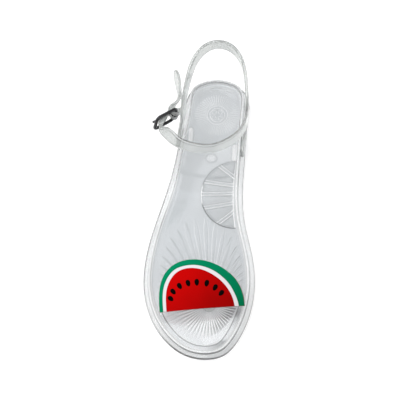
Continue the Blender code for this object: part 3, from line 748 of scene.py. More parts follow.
def footbed_colour(tree, colour):
    """The colour of the sole: a greyer bed, painted shade, and painted highlights and shade on the
    lines.
    """
    inset = kept_number(tree, "inset")
    bed = inset.step(*BED_STARTS)
    x, y = maker_place(tree, own_place(tree))
    pale, dark, sunk = pattern_lines(x, y)
    border, border_line = toe_border(x, y, inset)
    # Painted shadow of the slice round the post's foot, tinted brownish by the red above.
    foot = 1.0 - away(x, y, RAY_CENTRE).step(*FOOT_SHADE)
    # The bed is tinted lighter towards the toe and, less, the heel.
    lighter_ends = (1.0 - y.step(*LIGHTER_TOE)).most(y.step(*LIGHTER_HEEL) * SHARE["heel bed"])
    return tinted(
        tree, colour,
        (wall_shade(tree, y, inset), WALL_SHADE_TINT),
        (bed, mix_colour(tree, lighter_ends, BED_TINT, BED_END_TINT)),
        (border * bed, TOE_SHADE_TINT),
        (sunk * bed * SHARE["pockets"], POCKET_SHADE_TINT),
        (foot * bed * SHARE["post shadow"], POST_SHADOW_TINT),
        (pale * bed, HIGHLIGHT_WHITE),
        (dark.most(border_line * SHARE["border line"]) * bed, LINE_SHADE_TINT),
    )


print("bed tint", BED_TINT[:3], "and at its ends", BED_END_TINT[:3])

# %% Clear finish
PVC_IOR = 1.5
HAZE_SCALE = 60.0
HAZE = (0.3, 0.7)
CLOUD_DETAIL = 3.0
Grain = namedtuple("Grain", "scale depth least")
PVC_GRAIN = Grain(220.0, 0.06, 0.05)
SOLE_COLOURS = ((0.96, 0.97, 0.975, 1.0), (0.92, 0.93, 0.935, 1.0))
SOLE_CLEARNESS = 0.92


def new_finish(name, sockets):
    """A Principled material with its constant values: the material, its tree and its shader."""
    mat = bpy.data.materials.new(name)
    mat.use_nodes = True
    shader = mat.node_tree.nodes["Principled BSDF"]
    for title, value in sockets.items():
        shader.inputs[title].default_value = value
    return mat, mat.node_tree, shader


def cloud(tree, scale):
    """Soft noise over the object's own coordinates."""
    inputs = {"Vector": own_place(tree), "Scale": scale, "Detail": CLOUD_DETAIL}
    return Signal.add(tree, "ShaderNodeTexNoise", inputs)


def feed(shader, colour, grain):
    """Link a colour that varies, and a fine unevenness of the gloss, to a shader."""
    tree = shader.id_data
    rough = cloud(tree, grain.scale) * grain.depth + grain.least
    tree.links.new(colour.socket, shader.inputs["Base Color"])
    tree.links.new(rough.socket, shader.inputs["Roughness"])


def clear_pvc(name, colours, clearness, shaded=None):
    """Refracting plastic with a faint haze, with painted shade and highlights from a piece's own
    rule.
    """
    mat, tree, shader = new_finish(name, {"Transmission Weight": clearness, "IOR": PVC_IOR})
    colour = mix_colour(tree, cloud(tree, HAZE_SCALE).step(*HAZE), *colours)
    if shaded:
        colour = shaded(tree, colour)
    feed(shader, colour, PVC_GRAIN)
    return mat


sole_pvc = clear_pvc("sole_pvc", SOLE_COLOURS, SOLE_CLEARNESS, footbed_colour)
print("sole finish:", len(sole_pvc.node_tree.nodes), "nodes")

# %% [markdown]
# ## Pressing the pattern
# A real mould has the pattern cut into its steel. Here a Geometry Nodes tree works out a height for
# every point of the footbed and moves it, which keeps the formulas live while the depths are tuned:
# they are the tree's named inputs. Sculpting the same lines by hand would take hours and be uneven.

# %% Trees with named inputs
def new_tree(name, inputs):
    """A Geometry Nodes tree with named number inputs: the tree, its geometry and its values."""
    tree = bpy.data.node_groups.new(name, "GeometryNodeTree")
    tree.interface.new_socket("Geometry", in_out="INPUT", socket_type="NodeSocketGeometry")
    for title, value in inputs.items():
        socket = tree.interface.new_socket(title, in_out="INPUT", socket_type="NodeSocketFloat")
        socket.default_value = value
    tree.interface.new_socket("Geometry", in_out="OUTPUT", socket_type="NodeSocketGeometry")
    given = tree.nodes.new("NodeGroupInput").outputs
    return tree, Signal(given["Geometry"]), {title: Signal(given[title]) for title in inputs}


def close_tree(tree, geometry, mat):
    """End a tree with real meshes in one finish."""
    real = Signal.add(tree, "GeometryNodeRealizeInstances", {"Geometry": geometry})
    done = Signal.add(tree, "GeometryNodeSetMaterial", {"Geometry": real, "Material": mat})
    tree.links.new(done.socket, tree.nodes.new("NodeGroupOutput").inputs["Geometry"])
    return tree


def from_points(tree, name, kind):
    """A value that is kept on the points of the mesh."""
    return Signal.add(tree, "GeometryNodeInputNamedAttribute", {"Name": name}, data_type=kind)


def run_tree(thing, tree, **values):
    """Put a Geometry Nodes tree on an object with its named inputs, and keep what it makes."""
    step = thing.modifiers.new(tree.name, "NODES")
    step.node_group = tree
    for item in tree.interface.items_tree:
        if item.in_out == "INPUT" and item.name in values:
            step[item.identifier] = float(values[item.name])
    settle(thing)


def dress(thing, mat, slot, *nodes):
    """Give a piece its finish, and let it stand in for its solids."""
    thing.data.materials.clear()
    thing.data.materials.append(mat)
    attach(thing, "root")
    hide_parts(*nodes)
    print(thing.name, sum(len(f.vertices) - 2 for f in thing.data.polygons), "triangles")


print("trees can be built")

# %% Footbed pattern
PATTERN_INPUTS = {
    "Ray count": RAY_COUNT,
    "Ray height": 0.22,
    "Rosette rays": ROSETTE_COUNT,
    "Rosette height": 0.4,
    "Pocket depth": 0.7,
    "Boss height": 0.55,
}
PAD_BORDER = 0.9
RAY_SLOPE = 0.8
POCKET_SLOPE = 0.7
GROOVE_SHARE = 0.6
BOSS_SLOPE = 0.9


def footbed_tree(mat):
    """Rays and rosette raised, pockets and the groove round them sunk, boss and lugs raised."""
    tree, geometry, value = new_tree("footbed_pattern", PATTERN_INPUTS)
    x, y = maker_place(tree, Signal.add(tree, "GeometryNodeInputPosition"))
    inset = from_points(tree, "inset", "FLOAT")
    ray, _, shown, _ = sunburst(x, y, value["Ray count"])
    arc, side, rib = arch_pad(x, y)
    pocket = (arc.least(side) - PAD_BORDER).least(rib).step(0.0, POCKET_SLOPE)
    groove = arc.line(POCKET_SLOPE) * side.step(0.0, POCKET_SLOPE)
    boss, lug = boss_and_lugs(x, y)
    height = ray.step(0.0, RAY_SLOPE) * shown * value["Ray height"]
    height = height + rosette(x, y, value["Rosette rays"]) * value["Rosette height"]
    height = height - pocket * value["Pocket depth"]
    height = height - groove * value["Pocket depth"] * GROOVE_SHARE
    height = height + boss.most(lug).step(0.0, BOSS_SLOPE) * value["Boss height"]
    lift = Signal.add(tree, "ShaderNodeCombineXYZ", {"Z": height * inset.step(*BED_STARTS) * MM})
    moved = Signal.add(tree, "GeometryNodeSetPosition", {"Geometry": geometry, "Offset": lift})
    return close_tree(tree, moved, mat)


run_tree(sole, footbed_tree(sole_pvc), **PATTERN_INPUTS)
dress(sole, sole_pvc, "clear_pvc", "sole")

# %% [markdown]
# ## Straps, wings and buckle tab as one moulding
# The bands are flat ribbons with rounded edges that run through the air. Each one is a section
# swept along a curve; where they meet they overlap. A voxel remesh then fuses them, the way the
# plastic runs together in the mould, and leaves soft inside corners.

# %% Ribbons
BAND_CORNER = 0.9
CORNER_STEPS = 4
CORNER_LIMIT = 0.8
LOOP_STEPS = 300
STRAP_STEPS = 320
BAND_COLUMNS = "x from_toe z facing width lean"
HEEL_LOOP = table(
    BAND_COLUMNS,
    (-18.4, 192.8, 6.7, 171.0, 20.0, 0.0),
    (-18.5, 193.3, 13.0, 171.0, 17.0, 0.0),
    (-17.4, 196.0, 25.0, 171.0, 13.0, 2.0),
    (-14.4, 200.0, 40.0, 171.0, 11.2, 4.0),
    (-12.4, 206.0, 55.0, 170.0, 10.6, 4.0),
    (-8.2, 220.6, 67.0, 162.0, 10.4, 4.0),
    (-2.2, 236.6, 72.0, 142.0, 10.4, 6.0),
    (7.6, 246.6, 74.5, 114.0, 10.4, 6.0),
    (17.0, 248.9, 75.0, 86.0, 10.4, 5.0),
    (27.0, 246.0, 74.0, 58.0, 10.4, 4.0),
    (35.0, 237.2, 71.0, 28.0, 10.4, 2.0),
    (39.3, 221.5, 66.0, 9.0, 10.6, 0.0),
    (40.4, 206.0, 58.0, 1.0, 11.4, 0.0),
    (39.8, 197.0, 43.0, 0.0, 11.6, 0.0),
    (37.4, 190.5, 25.0, 0.0, 13.6, 0.0),
    (36.2, 187.4, 13.0, -3.0, 17.5, 0.0),
    (36.0, 187.0, 6.7, -3.0, 21.0, 0.0),
)
FRONT_STRAP = table(
    BAND_COLUMNS,
    (40.3, 206.5, 59.6, 2.0, 8.6, 0.0),
    (40.3, 197.0, 59.8, -1.0, 9.8, 0.0),
    (39.4, 186.5, 59.0, -14.0, 10.0, -4.0),
    (34.2, 176.3, 57.0, -47.0, 10.0, -12.0),
    (25.0, 169.2, 55.5, -66.0, 10.0, -17.0),
    (12.4, 164.6, 54.5, -84.0, 10.0, -18.0),
    (-3.6, 165.4, 54.3, -103.0, 10.0, -26.0),
    (-17.6, 170.7, 55.6, -121.0, 9.8, -44.0),
    (-26.8, 178.0, 58.6, -130.0, 9.4, -44.0),
    (-30.7, 181.2, 61.0, -170.0, 9.2, -6.0),
    (-29.8, 185.2, 60.0, -212.0, 9.2, 0.0),
    (-27.1, 191.2, 56.4, -225.0, 9.2, 0.0),
    (-24.1, 200.5, 52.1, -225.0, 9.2, 0.0),
    (-20.9, 204.8, 53.4, -214.0, 9.2, -3.0),
    (-16.9, 207.9, 57.6, -192.0, 9.2, -10.0),
    (-16.0, 211.8, 61.6, -178.0, 9.2, -19.0),
    (-16.6, 218.3, 64.4, -172.0, 9.2, -26.0),
    (-18.5, 226.5, 65.2, -168.0, 8.4, -28.0),
    (-19.4, 230.1, 65.4, -166.0, 4.4, -28.0),
)
Section = namedtuple("Section", "middle across outer width")


def rounded_box(a, b, corner, steps):
    """Points round a rectangle of half sizes a and b, with a number of steps at each corner."""
    spots = []
    for sx, sy, start in ((1, 1, 0.0), (-1, 1, 90.0), (-1, -1, 180.0), (1, -1, 270.0)):
        for k in range(steps):
            turn = math.radians(start + 90.0 * k / (steps - 1))
            x = sx * (a - corner) + corner * math.cos(turn)
            spots.append((x, sy * (b - corner) + corner * math.sin(turn)))
    return spots


def band_sections(rows, steps):
    """Even steps along a band: its middle, the way across, the way out and the width."""
    curve, knots = smooth_curve(rows)
    sections = []
    for s in np.linspace(0.0, knots[-1], steps + 1):
        x, from_toe, z, facing, width, lean = curve(s)
        along = (curve(min(s + PROBE, knots[-1])) - curve(max(s - PROBE, 0.0)))[:3]
        along /= np.linalg.norm(along)
        turn = math.radians(facing)
        out = np.array([math.cos(turn), math.sin(turn), 0.0])
        out -= along * np.dot(out, along)
        out /= np.linalg.norm(out)
        up = np.cross(along, out)
        tip = math.radians(lean)
        across = up * math.cos(tip) + out * math.sin(tip)
        outer = out * math.cos(tip) - up * math.sin(tip)
        sections.append(Section(np.array([x, from_toe, z]), across, outer, width))
    return sections


def make_band(name, sections, thickness):
    """Sweep a ribbon along a band's sections."""
    rings = []
    for section in sections:
        a = section.width / 2.0
        b = thickness / 2.0
        corner = min(BAND_CORNER, CORNER_LIMIT * b, CORNER_LIMIT * a)
        spots = rounded_box(a, b, corner, CORNER_STEPS)
        rings.append([section.middle + section.across * a + section.outer * b for a, b in spots])
    return loft(name, rings)


loop_sections = band_sections(HEEL_LOOP, LOOP_STEPS)
strap_sections = band_sections(FRONT_STRAP, STRAP_STEPS)
print("sections:", len(loop_sections), "round the heel,", len(strap_sections), "along the strap")

# %% Buckle tab
GAP = 0.3
BUCKLE_INNER_BAR = (-20.0, 197.0, 51.9)
BUCKLE_ALONG = (-0.637, -0.627, 0.446)
BUCKLE_ACROSS = (0.315, 0.320, 0.895)
WIRE_RADIUS = 1.4
BARREL_LENGTH = 8.6
BARREL_WALL = 1.6
BARREL_SIDES = 40
TAB = table("along half_width half_thick", (-1.9, 4.1, 1.5), (-5.0, 3.9, 1.3), (-9.5, 2.8, 0.8))

bar_along = np.array(BUCKLE_ALONG) / np.linalg.norm(BUCKLE_ALONG)
bar_across = np.array(BUCKLE_ACROSS) - bar_along * np.dot(BUCKLE_ACROSS, bar_along)
bar_across /= np.linalg.norm(bar_across)
bar_out = np.cross(bar_along, bar_across)


def buckle_point(along, across, out):
    """A point measured from the middle of the buckle's inner bar."""
    return np.array(BUCKLE_INNER_BAR) + bar_along * along + bar_across * across + bar_out * out


def make_tab():
    """The web of the tab and the barrel that is moulded round the buckle's inner bar."""
    corners = ((1, 1), (-1, 1), (-1, -1), (1, -1))
    web = []
    for row in TAB:
        spots = [(row.along, a * row.half_width, b * row.half_thick) for a, b in corners]
        web.append([buckle_point(*spot) for spot in spots])
    inner = WIRE_RADIUS + GAP
    outer = inner + BARREL_WALL
    half = BARREL_LENGTH / 2.0
    profile = ((inner, -half), (outer, -half), (outer, half), (inner, half))
    barrel = []
    for k in range(BARREL_SIDES):
        turn = math.tau * k / BARREL_SIDES
        spots = [(radius * math.cos(turn), a, radius * math.sin(turn)) for radius, a in profile]
        barrel.append([buckle_point(*spot) for spot in spots])
    return loft("tab_web", web), loft("tab_barrel", barrel, closed=True)


tab_pieces = make_tab()
print("tab pieces:", [piece.name for piece in tab_pieces])

# %% Strap finish
FRONT_STARTS = (0.03, 0.08)
FRONT_ENDS = (0.57, 0.62)
BED_ENDS = (0.44, 0.54)
LEG_ENDS = (0.20, 0.36)
# Painted shade lines and painted highlights along the front strap's rounded edges.
STRAP_LINES = (0.62, 0.97)
STRAP_LINE = 0.08
UPPER_GLEAM = (0.72, 0.87)
LOWER_GLEAM = (-0.98, -0.86)
STRAP_SHADE_SHARE = 0.7
STRAP_GLEAM_SHARE = 0.8
FRONT_TINT = (0.88, 0.90, 0.89, 1.0)
STRAP_LINE_SHADE_TINT = (0.08, 0.085, 0.083, 1.0)


def mark_edges(thing, sections, first):
    """Keep on each point its share across its band, and how far it is front strap or over the bed.

    The sections before the first of the strap belong to the heel loop, whose two legs stand beside
    the bed.
    """
    finder = KDTree(len(sections))
    for number, middle in enumerate(in_frame([section.middle for section in sections])):
        finder.insert(middle, number)
    finder.balance()
    shares = []
    fronts = []
    overs = []
    for point in thing.data.vertices:
        middle, number, _ = finder.find(point.co)
        section = sections[number]
        off = (point.co - middle).dot(Vector(section.across)) / MM
        shares.append(off / (section.width / 2.0))
        place = (number - first) / STRAP_STEPS
        begun = smooth_step(*FRONT_STARTS, place)
        from_end = min(number, first - number) / first
        leg = 1.0 - smooth_step(*LEG_ENDS, from_end) if number < first else 0.0
        fronts.append(begun * (1.0 - smooth_step(*FRONT_ENDS, place)))
        overs.append(max(leg, begun * (1.0 - smooth_step(*BED_ENDS, place))))
    keep_numbers(thing, to_edge=shares, front=fronts, over_bed=overs)


def strap_colour(tree, colour):
    """Clearer over the bed; front strap: two painted shade lines above, painted highlights at its
    edges.
    """
    to_edge = kept_number(tree, "to_edge")
    front = kept_number(tree, "front")
    lines = [(to_edge - place).line(STRAP_LINE) for place in STRAP_LINES]
    dark = lines[0].most(lines[1])
    gleam = to_edge.step(*UPPER_GLEAM).most(1.0 - to_edge.step(*LOWER_GLEAM))
    return tinted(
        tree, colour,
        (kept_number(tree, "over_bed"), FRONT_TINT),
        (dark * front * STRAP_SHADE_SHARE, STRAP_LINE_SHADE_TINT),
        (gleam * front * (1.0 - dark) * STRAP_GLEAM_SHARE, HIGHLIGHT_WHITE),
    )


print("strap lines at", STRAP_LINES, "of the half width")

# %% Upper
BAND_THICKNESS = 2.8
FRONT_STRAP_THICKNESS = 2.4
FUSE_SIZE = 0.42
FUSE_ROUNDS = 5
FUSE_FACTOR = 0.5
UPPER_COLOURS = ((0.70, 0.72, 0.71, 1.0), (0.64, 0.66, 0.65, 1.0))
UPPER_CLEARNESS = 0.72


def fuse(name, things):
    """Melt overlapping closed pieces into one skin."""
    shape = bmesh.new()
    for thing in things:
        shape.from_mesh(thing.data)
        bpy.data.objects.remove(thing, do_unlink=True)
    mesh = bpy.data.meshes.new(name)
    shape.to_mesh(mesh)
    shape.free()
    whole = put_in_scene(name, mesh)
    melt = whole.modifiers.new("melt", "REMESH")
    melt.mode = "VOXEL"
    melt.voxel_size = FUSE_SIZE * MM
    soft = whole.modifiers.new("soft", "SMOOTH")
    soft.iterations = FUSE_ROUNDS
    soft.factor = FUSE_FACTOR
    settle(whole)
    whole.data.shade_smooth()
    return whole


loop = make_band("heel_loop", loop_sections, BAND_THICKNESS)
strap = make_band("front_strap", strap_sections, FRONT_STRAP_THICKNESS)
upper = fuse("clear_upper", [loop, strap, *tab_pieces])
mark_edges(upper, loop_sections + strap_sections, len(loop_sections))
upper_pvc = clear_pvc("upper_pvc", UPPER_COLOURS, UPPER_CLEARNESS, strap_colour)
dress(upper, upper_pvc, "strap_pvc", "upper")

# %% [markdown]
# ## The slice of watermelon
# The ornament is a thick plate of coloured plastic, cut straight along the toes and round behind.
# Its three colours lie flush on a red base. Sag and tilt are the same for every layer, so one
# function places all of them.

# %% Outlines of the slice
FRUIT_THICKNESS = 4.0
FRUIT_BASE_TURN = 5.2
FRUIT_TILT = 7.0
FRUIT_ARCH = 2.5
FRUIT_CORNER = (-29.1, 35.7)
FRUIT_FRONT_HEIGHT = 21.6
FRUIT_MIDDLE = 31.3
FRUIT_STEPS = 180
FRUIT_COLUMNS = "along back"
WHOLE_SLICE = table(
    FRUIT_COLUMNS,
    (0.0, 0.0), (0.1, 11.4), (1.5, 20.4), (5.2, 29.1), (12.2, 36.0), (21.6, 39.5), (31.4, 39.7),
    (40.8, 37.6), (49.3, 33.7), (56.9, 28.2), (63.2, 20.8), (67.0, 11.7), (68.0, 4.5), (68.0, 0.0),
)
PITH_EDGE = table(
    FRUIT_COLUMNS,
    (2.9, 0.0), (3.0, 10.8), (4.3, 18.9), (7.9, 26.6), (14.2, 32.8), (22.7, 35.3), (31.4, 35.2),
    (39.4, 32.9), (46.5, 29.1), (52.5, 24.0), (57.5, 17.9), (61.1, 10.4), (63.2, 3.5), (63.7, 0.0),
)
FLESH_EDGE = table(
    FRUIT_COLUMNS,
    (5.7, 0.0), (5.8, 10.3), (7.0, 17.5), (10.2, 24.5), (15.7, 30.2), (23.4, 32.8), (31.3, 32.4),
    (38.5, 30.0), (44.7, 26.3), (50.1, 21.8), (54.5, 16.4), (58.0, 9.9), (59.8, 3.5), (60.2, 0.0),
)


def fruit_spot(along, back, rise):
    """A point of the slice: turned over the toes, tilted up to the instep and gently arched."""
    middle = WHOLE_SLICE[-1].along / 2.0
    sag = FRUIT_ARCH * ((along - middle) / middle) ** 2
    tilt = math.radians(FRUIT_TILT)
    turn = math.radians(FRUIT_BASE_TURN)
    level = back * math.cos(tilt) - rise * math.sin(tilt)
    height = FRUIT_FRONT_HEIGHT + back * math.sin(tilt) + rise * math.cos(tilt) - sag
    x = FRUIT_CORNER[0] + along * math.cos(turn) - level * math.sin(turn)
    from_toe = FRUIT_CORNER[1] + along * math.sin(turn) + level * math.cos(turn)
    return (x, from_toe, height)


def fruit_arc(edge, shrink):
    """One of the slice's outlines, drawn in towards a middle on the cut edge."""
    curve, knots = smooth_curve(edge, place_columns=2)
    spots = []
    for s in np.linspace(0.0, knots[-1], FRUIT_STEPS + 1):
        along, back = curve(s)
        share = 1.0 - shrink / math.hypot(along - FRUIT_MIDDLE, back)
        spots.append((FRUIT_MIDDLE + (along - FRUIT_MIDDLE) * share, max(back * share, 0.0)))
    return spots


print("slice:", WHOLE_SLICE[-1].along, "mm along the cut")

# %% Printed plastic
# Painted shade across the slice: darker towards the front of its inner side, away from the window.
SHADE_SLANT_FROM = (-20.0, 70.0)
SHADE_SLANT_LENGTH = 85.0
SHADE_SLANT_SHARE = 0.85
PRINT_CLOUD_SCALE = 45.0
PRINT_CLOUD = (0.25, 0.8)
PRINT_GRAIN = Grain(300.0, 0.12, 0.40)
PRINT_SPECULAR = 0.015


def printed_and_shaded(name, colour, shade_and_tone_colour, grain=PRINT_GRAIN):
    """Satin plastic with painted shade towards the front of its inner side, over a faint random tone.
    """
    mat, tree, shader = new_finish(name, {"Specular IOR Level": PRINT_SPECULAR})
    x, y = maker_place(tree, own_place(tree))
    slant = (x - SHADE_SLANT_FROM[0] - y + SHADE_SLANT_FROM[1]) / SHADE_SLANT_LENGTH
    clouds = cloud(tree, PRINT_CLOUD_SCALE).step(*PRINT_CLOUD)
    share = slant * SHADE_SLANT_SHARE + clouds * (1.0 - SHADE_SLANT_SHARE)
    feed(shader, mix_colour(tree, share.most(0.0).least(1.0), colour, shade_and_tone_colour), grain)
    return mat


red = printed_and_shaded("melon_red", (0.51, 0.0002, 0.0002, 1.0), (0.18, 0.0002, 0.0002, 1.0))
green = printed_and_shaded("rind_green", (0.0, 0.21, 0.095, 1.0), (0.0, 0.115, 0.045, 1.0))
white = printed_and_shaded("pith_white", (0.66, 0.63, 0.65, 1.0), (0.58, 0.555, 0.57, 1.0))
print("finishes:", red.name, green.name, white.name)

# %% Layers of the slice
BASE_THICKNESS = 1.0
BASE_EDGE = 0.3
RIND_EDGE = 0.35
RIND_ROUND = 0.3
INNER_EDGE = 0.1
HALF_SEAM = GAP / 6.0
SLICE_CREASE = 35.0
SLICE_WELD = 0.01


def make_ring(name, outer_edge, inner_edge, outer_shrink):
    """A band of the slice, from the cut edge round to the cut edge, with eased top edges."""
    high = FRUIT_THICKNESS
    cut = RIND_ROUND * RIND_EDGE
    profile = [
        (outer_edge, outer_shrink, BASE_THICKNESS),
        (outer_edge, outer_shrink, high - RIND_EDGE),
        (outer_edge, outer_shrink + cut, high - cut),
        (outer_edge, outer_shrink + RIND_EDGE, high),
        (inner_edge, -HALF_SEAM - INNER_EDGE, high),
        (inner_edge, -HALF_SEAM, high - INNER_EDGE),
        (inner_edge, -HALF_SEAM, BASE_THICKNESS),
    ]
    columns = []
    for edge, shrink, rise in profile:
        columns.append([fruit_spot(a, b, rise) for a, b in fruit_arc(edge, shrink)])
    return loft(name, list(zip(*columns)), sharp=SLICE_CREASE)


def make_slab(name, arc, low, high, edge):
    """A plate between an arc and the straight cut, with an eased top edge."""
    rings = []
    for along, back in arc:
        far = max(back - edge, edge)
        top = [(back, high - edge), (far, high), (edge, high), (0.0, high - edge)]
        ring = [(back, low), *top, (0.0, low)]
        rings.append([fruit_spot(along, spot, rise) for spot, rise in ring])
    return loft(name, rings, sharp=SLICE_CREASE, weld=SLICE_WELD)


rind = make_ring("rind", WHOLE_SLICE, PITH_EDGE, 0.0)
pith = make_ring("pith", PITH_EDGE, FLESH_EDGE, HALF_SEAM)
flesh_arc = fruit_arc(FLESH_EDGE, HALF_SEAM)
flesh = make_slab("flesh", flesh_arc, BASE_THICKNESS, FRUIT_THICKNESS, INNER_EDGE)
base = make_slab("slice_base", fruit_arc(WHOLE_SLICE, -BASE_EDGE), 0.0, BASE_THICKNESS, BASE_EDGE)
dress(rind, green, "rind_green", "fruit_rind")
dress(pith, white, "pith_white", "fruit_pith")
dress(flesh, red, "flesh_red", "fruit_flesh")
dress(base, red, "flesh_red", "fruit_flesh")

# %% [markdown]
# ## Seeds
# Eight drops of black point away from the middle of the cut edge. They are one shape repeated, so
# one drop is modelled in Geometry Nodes and set on points that carry their own directions.

# %% Seeds
SEED_PROUD = 0.35
SEED_FAN_CENTRE = (31.3, -6.9)
SEED_SEGMENTS = 32
SEED_RINGS = 16
SEED_GRAIN = PRINT_GRAIN._replace(least=0.30)
SEEDS = table(
    FRUIT_COLUMNS,
    (9.9, 9.8), (12.2, 15.2), (17.6, 19.2), (24.6, 20.9),
    (31.6, 21.0), (39.5, 19.6), (45.9, 15.7), (50.4, 11.0),
)
SEED_INPUTS = {
    "Seed length": 5.6 * MM,
    "Seed width": 3.7 * MM,
    "Seed height": 2.0 * SEED_PROUD * MM,
    "Seed taper": 0.15,
}


def seed_points():
    """One point per seed on the face of the slice, with the way it points and the way up."""
    spots = []
    ways = []
    ups = []
    for row in SEEDS:
        dx = row.along - SEED_FAN_CENTRE[0]
        dy = row.back - SEED_FAN_CENTRE[1]
        size = math.hypot(dx, dy)
        here = np.array(fruit_spot(row.along, row.back, FRUIT_THICKNESS))
        ahead = fruit_spot(row.along + dx / size, row.back + dy / size, FRUIT_THICKNESS)
        above = fruit_spot(row.along, row.back, FRUIT_THICKNESS + 1.0)
        spots.append(here)
        ways.append(ahead - here)
        ups.append(above - here)
    thing = new_piece("seeds", spots, [])
    for name, vectors in (("way", ways), ("up", ups)):
        data = thing.data.attributes.new(name, "FLOAT_VECTOR", "POINT").data
        data.foreach_set("vector", np.array(vectors).ravel())
    return thing


def seed_tree(mat):
    """A ball drawn out to a drop, set on every point along the point's own directions."""
    tree, geometry, value = new_tree("seed_row", SEED_INPUTS)
    sizes = {"Segments": SEED_SEGMENTS, "Rings": SEED_RINGS, "Radius": 0.5}
    ball = Signal.add(tree, "GeometryNodeMeshUVSphere", sizes)
    x, y, z = axes(tree, Signal.add(tree, "GeometryNodeInputPosition"))
    taper = 1.0 + x * 2.0 * value["Seed taper"]
    drawn = {
        "X": x * value["Seed length"],
        "Y": y * taper * value["Seed width"],
        "Z": z * value["Seed height"],
    }
    spot = Signal.add(tree, "ShaderNodeCombineXYZ", drawn)
    drop = Signal.add(tree, "GeometryNodeSetPosition", {"Geometry": ball, "Position": spot})
    drop = Signal.add(tree, "GeometryNodeSetShadeSmooth", {"Geometry": drop})
    way = from_points(tree, "way", "FLOAT_VECTOR")
    up = from_points(tree, "up", "FLOAT_VECTOR")
    sides = {"primary_axis": "Z", "secondary_axis": "X"}
    turn = Signal.add(tree, "FunctionNodeAxesToRotation", {0: up, 1: way}, **sides)
    row = {"Points": geometry, "Instance": drop, "Rotation": turn}
    return close_tree(tree, Signal.add(tree, "GeometryNodeInstanceOnPoints", row), mat)


black_tones = ((0.0015, 0.0005, 0.0005, 1.0), (0.0025, 0.0008, 0.0008, 1.0))
black = printed_and_shaded("seed_black", *black_tones, SEED_GRAIN)
seeds = seed_points()
run_tree(seeds, seed_tree(black), **SEED_INPUTS)
dress(seeds, black, "seed_black", *[f"seed_{number}" for number in range(1, len(SEEDS) + 1)])

# %% [markdown]
# ## Toe post
# The post is hidden under the slice from above, but shows from the sides. It is a turned shape:
# a spread foot on the bed, a thin neck between the toes and a plate under the slice. Spinning a
# profile would leave its ends flat, so each ring is set between the dished bed and the slice.

# %% Toe post
POST_LEAN = 4.3
POST_CLEARANCE = 0.6
POST_SIDES = 56
POST_CREASE = 40.0
POST_COLOURS = ((0.95, 0.96, 0.95, 1.0), (0.90, 0.91, 0.90, 1.0))
POST_CLEARNESS = 0.95
POST_PROFILE = table(
    "radius share",
    (5.6, 0.00), (5.6, 0.05), (4.4, 0.12), (3.4, 0.22), (2.8, 0.40),
    (2.8, 0.62), (3.8, 0.78), (6.6, 0.90), (9.0, 0.95), (9.0, 1.00),
)


def bed_share(x, from_toe):
    """Where a point lies between the footbed's edges, from -1 to 1."""
    ring = coarse_outline - coarse_outward * WALL[-1].inset
    half = len(ring) // 2
    outer = ring[: half + 1][::-1]
    inner = ring[half:]
    low = np.interp(from_toe, outer[:, 1], outer[:, 0])
    high = np.interp(from_toe, inner[:, 1], inner[:, 0])
    return 2.0 * (x - low) / (high - low) - 1.0


def make_post():
    """Rings between the footbed and the underside of the slice."""
    x, from_toe = RAY_CENTRE
    turn = math.radians(FRUIT_BASE_TURN)
    off_x = x - FRUIT_CORNER[0]
    off_y = from_toe - FRUIT_CORNER[1]
    along = off_x * math.cos(turn) + off_y * math.sin(turn)
    back = off_y * math.cos(turn) - off_x * math.sin(turn)
    rings = []
    for radius, share in cut_corners(cut_corners([np.array(row) for row in POST_PROFILE])):
        ring = []
        for k in range(POST_SIDES):
            angle = math.tau * k / POST_SIDES
            dx = radius * math.cos(angle)
            dy = radius * math.sin(angle)
            bed = bed_height(from_toe + dy, bed_share(x + dx, from_toe + dy)) + POST_CLEARANCE
            foot = np.array([x + dx, from_toe + dy, bed])
            head = np.array(fruit_spot(along + dx, back + POST_LEAN + dy, -GAP))
            ring.append(foot + (head - foot) * share)
        rings.append(ring)
    return loft("clear_post", rings, sharp=POST_CREASE)


post_pvc = clear_pvc("post_pvc", POST_COLOURS, POST_CLEARNESS)
post = make_post()
dress(post, post_pvc, "post_pvc", "toe_post")

# %% [markdown]
# ## Buckle
# The buckle is a frame and a prong of bent wire, plated nearly black but still bright. Round wire
# is a curve with a bevel, which keeps its section even round every bend; a swept mesh would need
# its own turning rule. The curve becomes a mesh at once, so that its caps can be closed.

# %% Buckle
FRAME_LENGTH = 22.0
FRAME_WIDTH = 16.4
FRAME_CORNER = 3.5
FRAME_CORNER_STEPS = 11
PRONG_RADIUS = 0.9
PRONG_OVERHANG = 0.8
HOOK_START = -200.0
HOOK_END = 90.0
HOOK_STEPS = 28
WIRE_ROUNDNESS = 6
WIRE_WELD = 0.005
METAL_CLOUD_SCALE = 400.0
METAL_CLOUD = (0.35, 0.75)
METAL_GRAIN = Grain(900.0, 0.12, 0.08)


def wire(name, path, radius, closed):
    """A round wire along a path in the maker's frame, as a mesh."""
    curve = bpy.data.curves.new(name, "CURVE")
    curve.dimensions = "3D"
    curve.bevel_depth = radius * MM
    curve.bevel_resolution = WIRE_ROUNDNESS
    curve.use_fill_caps = True
    line = curve.splines.new("POLY")
    line.points.add(len(path) - 1)
    for point, spot in zip(line.points, in_frame(path)):
        point.co = (*spot, 1.0)
    line.use_cyclic_u = closed
    thing = put_in_scene(name, curve)
    mesh = made_mesh(thing)
    bpy.data.objects.remove(thing, do_unlink=True)
    turn_outwards(mesh, WIRE_WELD)
    return put_in_scene(name, mesh)


def frame_path():
    """A rectangle with round corners; its first side is the inner bar."""
    half = FRAME_LENGTH / 2.0
    spots = rounded_box(half, FRAME_WIDTH / 2.0 - WIRE_RADIUS, FRAME_CORNER, FRAME_CORNER_STEPS)
    spots = spots[FRAME_CORNER_STEPS:] + spots[:FRAME_CORNER_STEPS]
    return [buckle_point(half + along, across, 0.0) for along, across in spots]


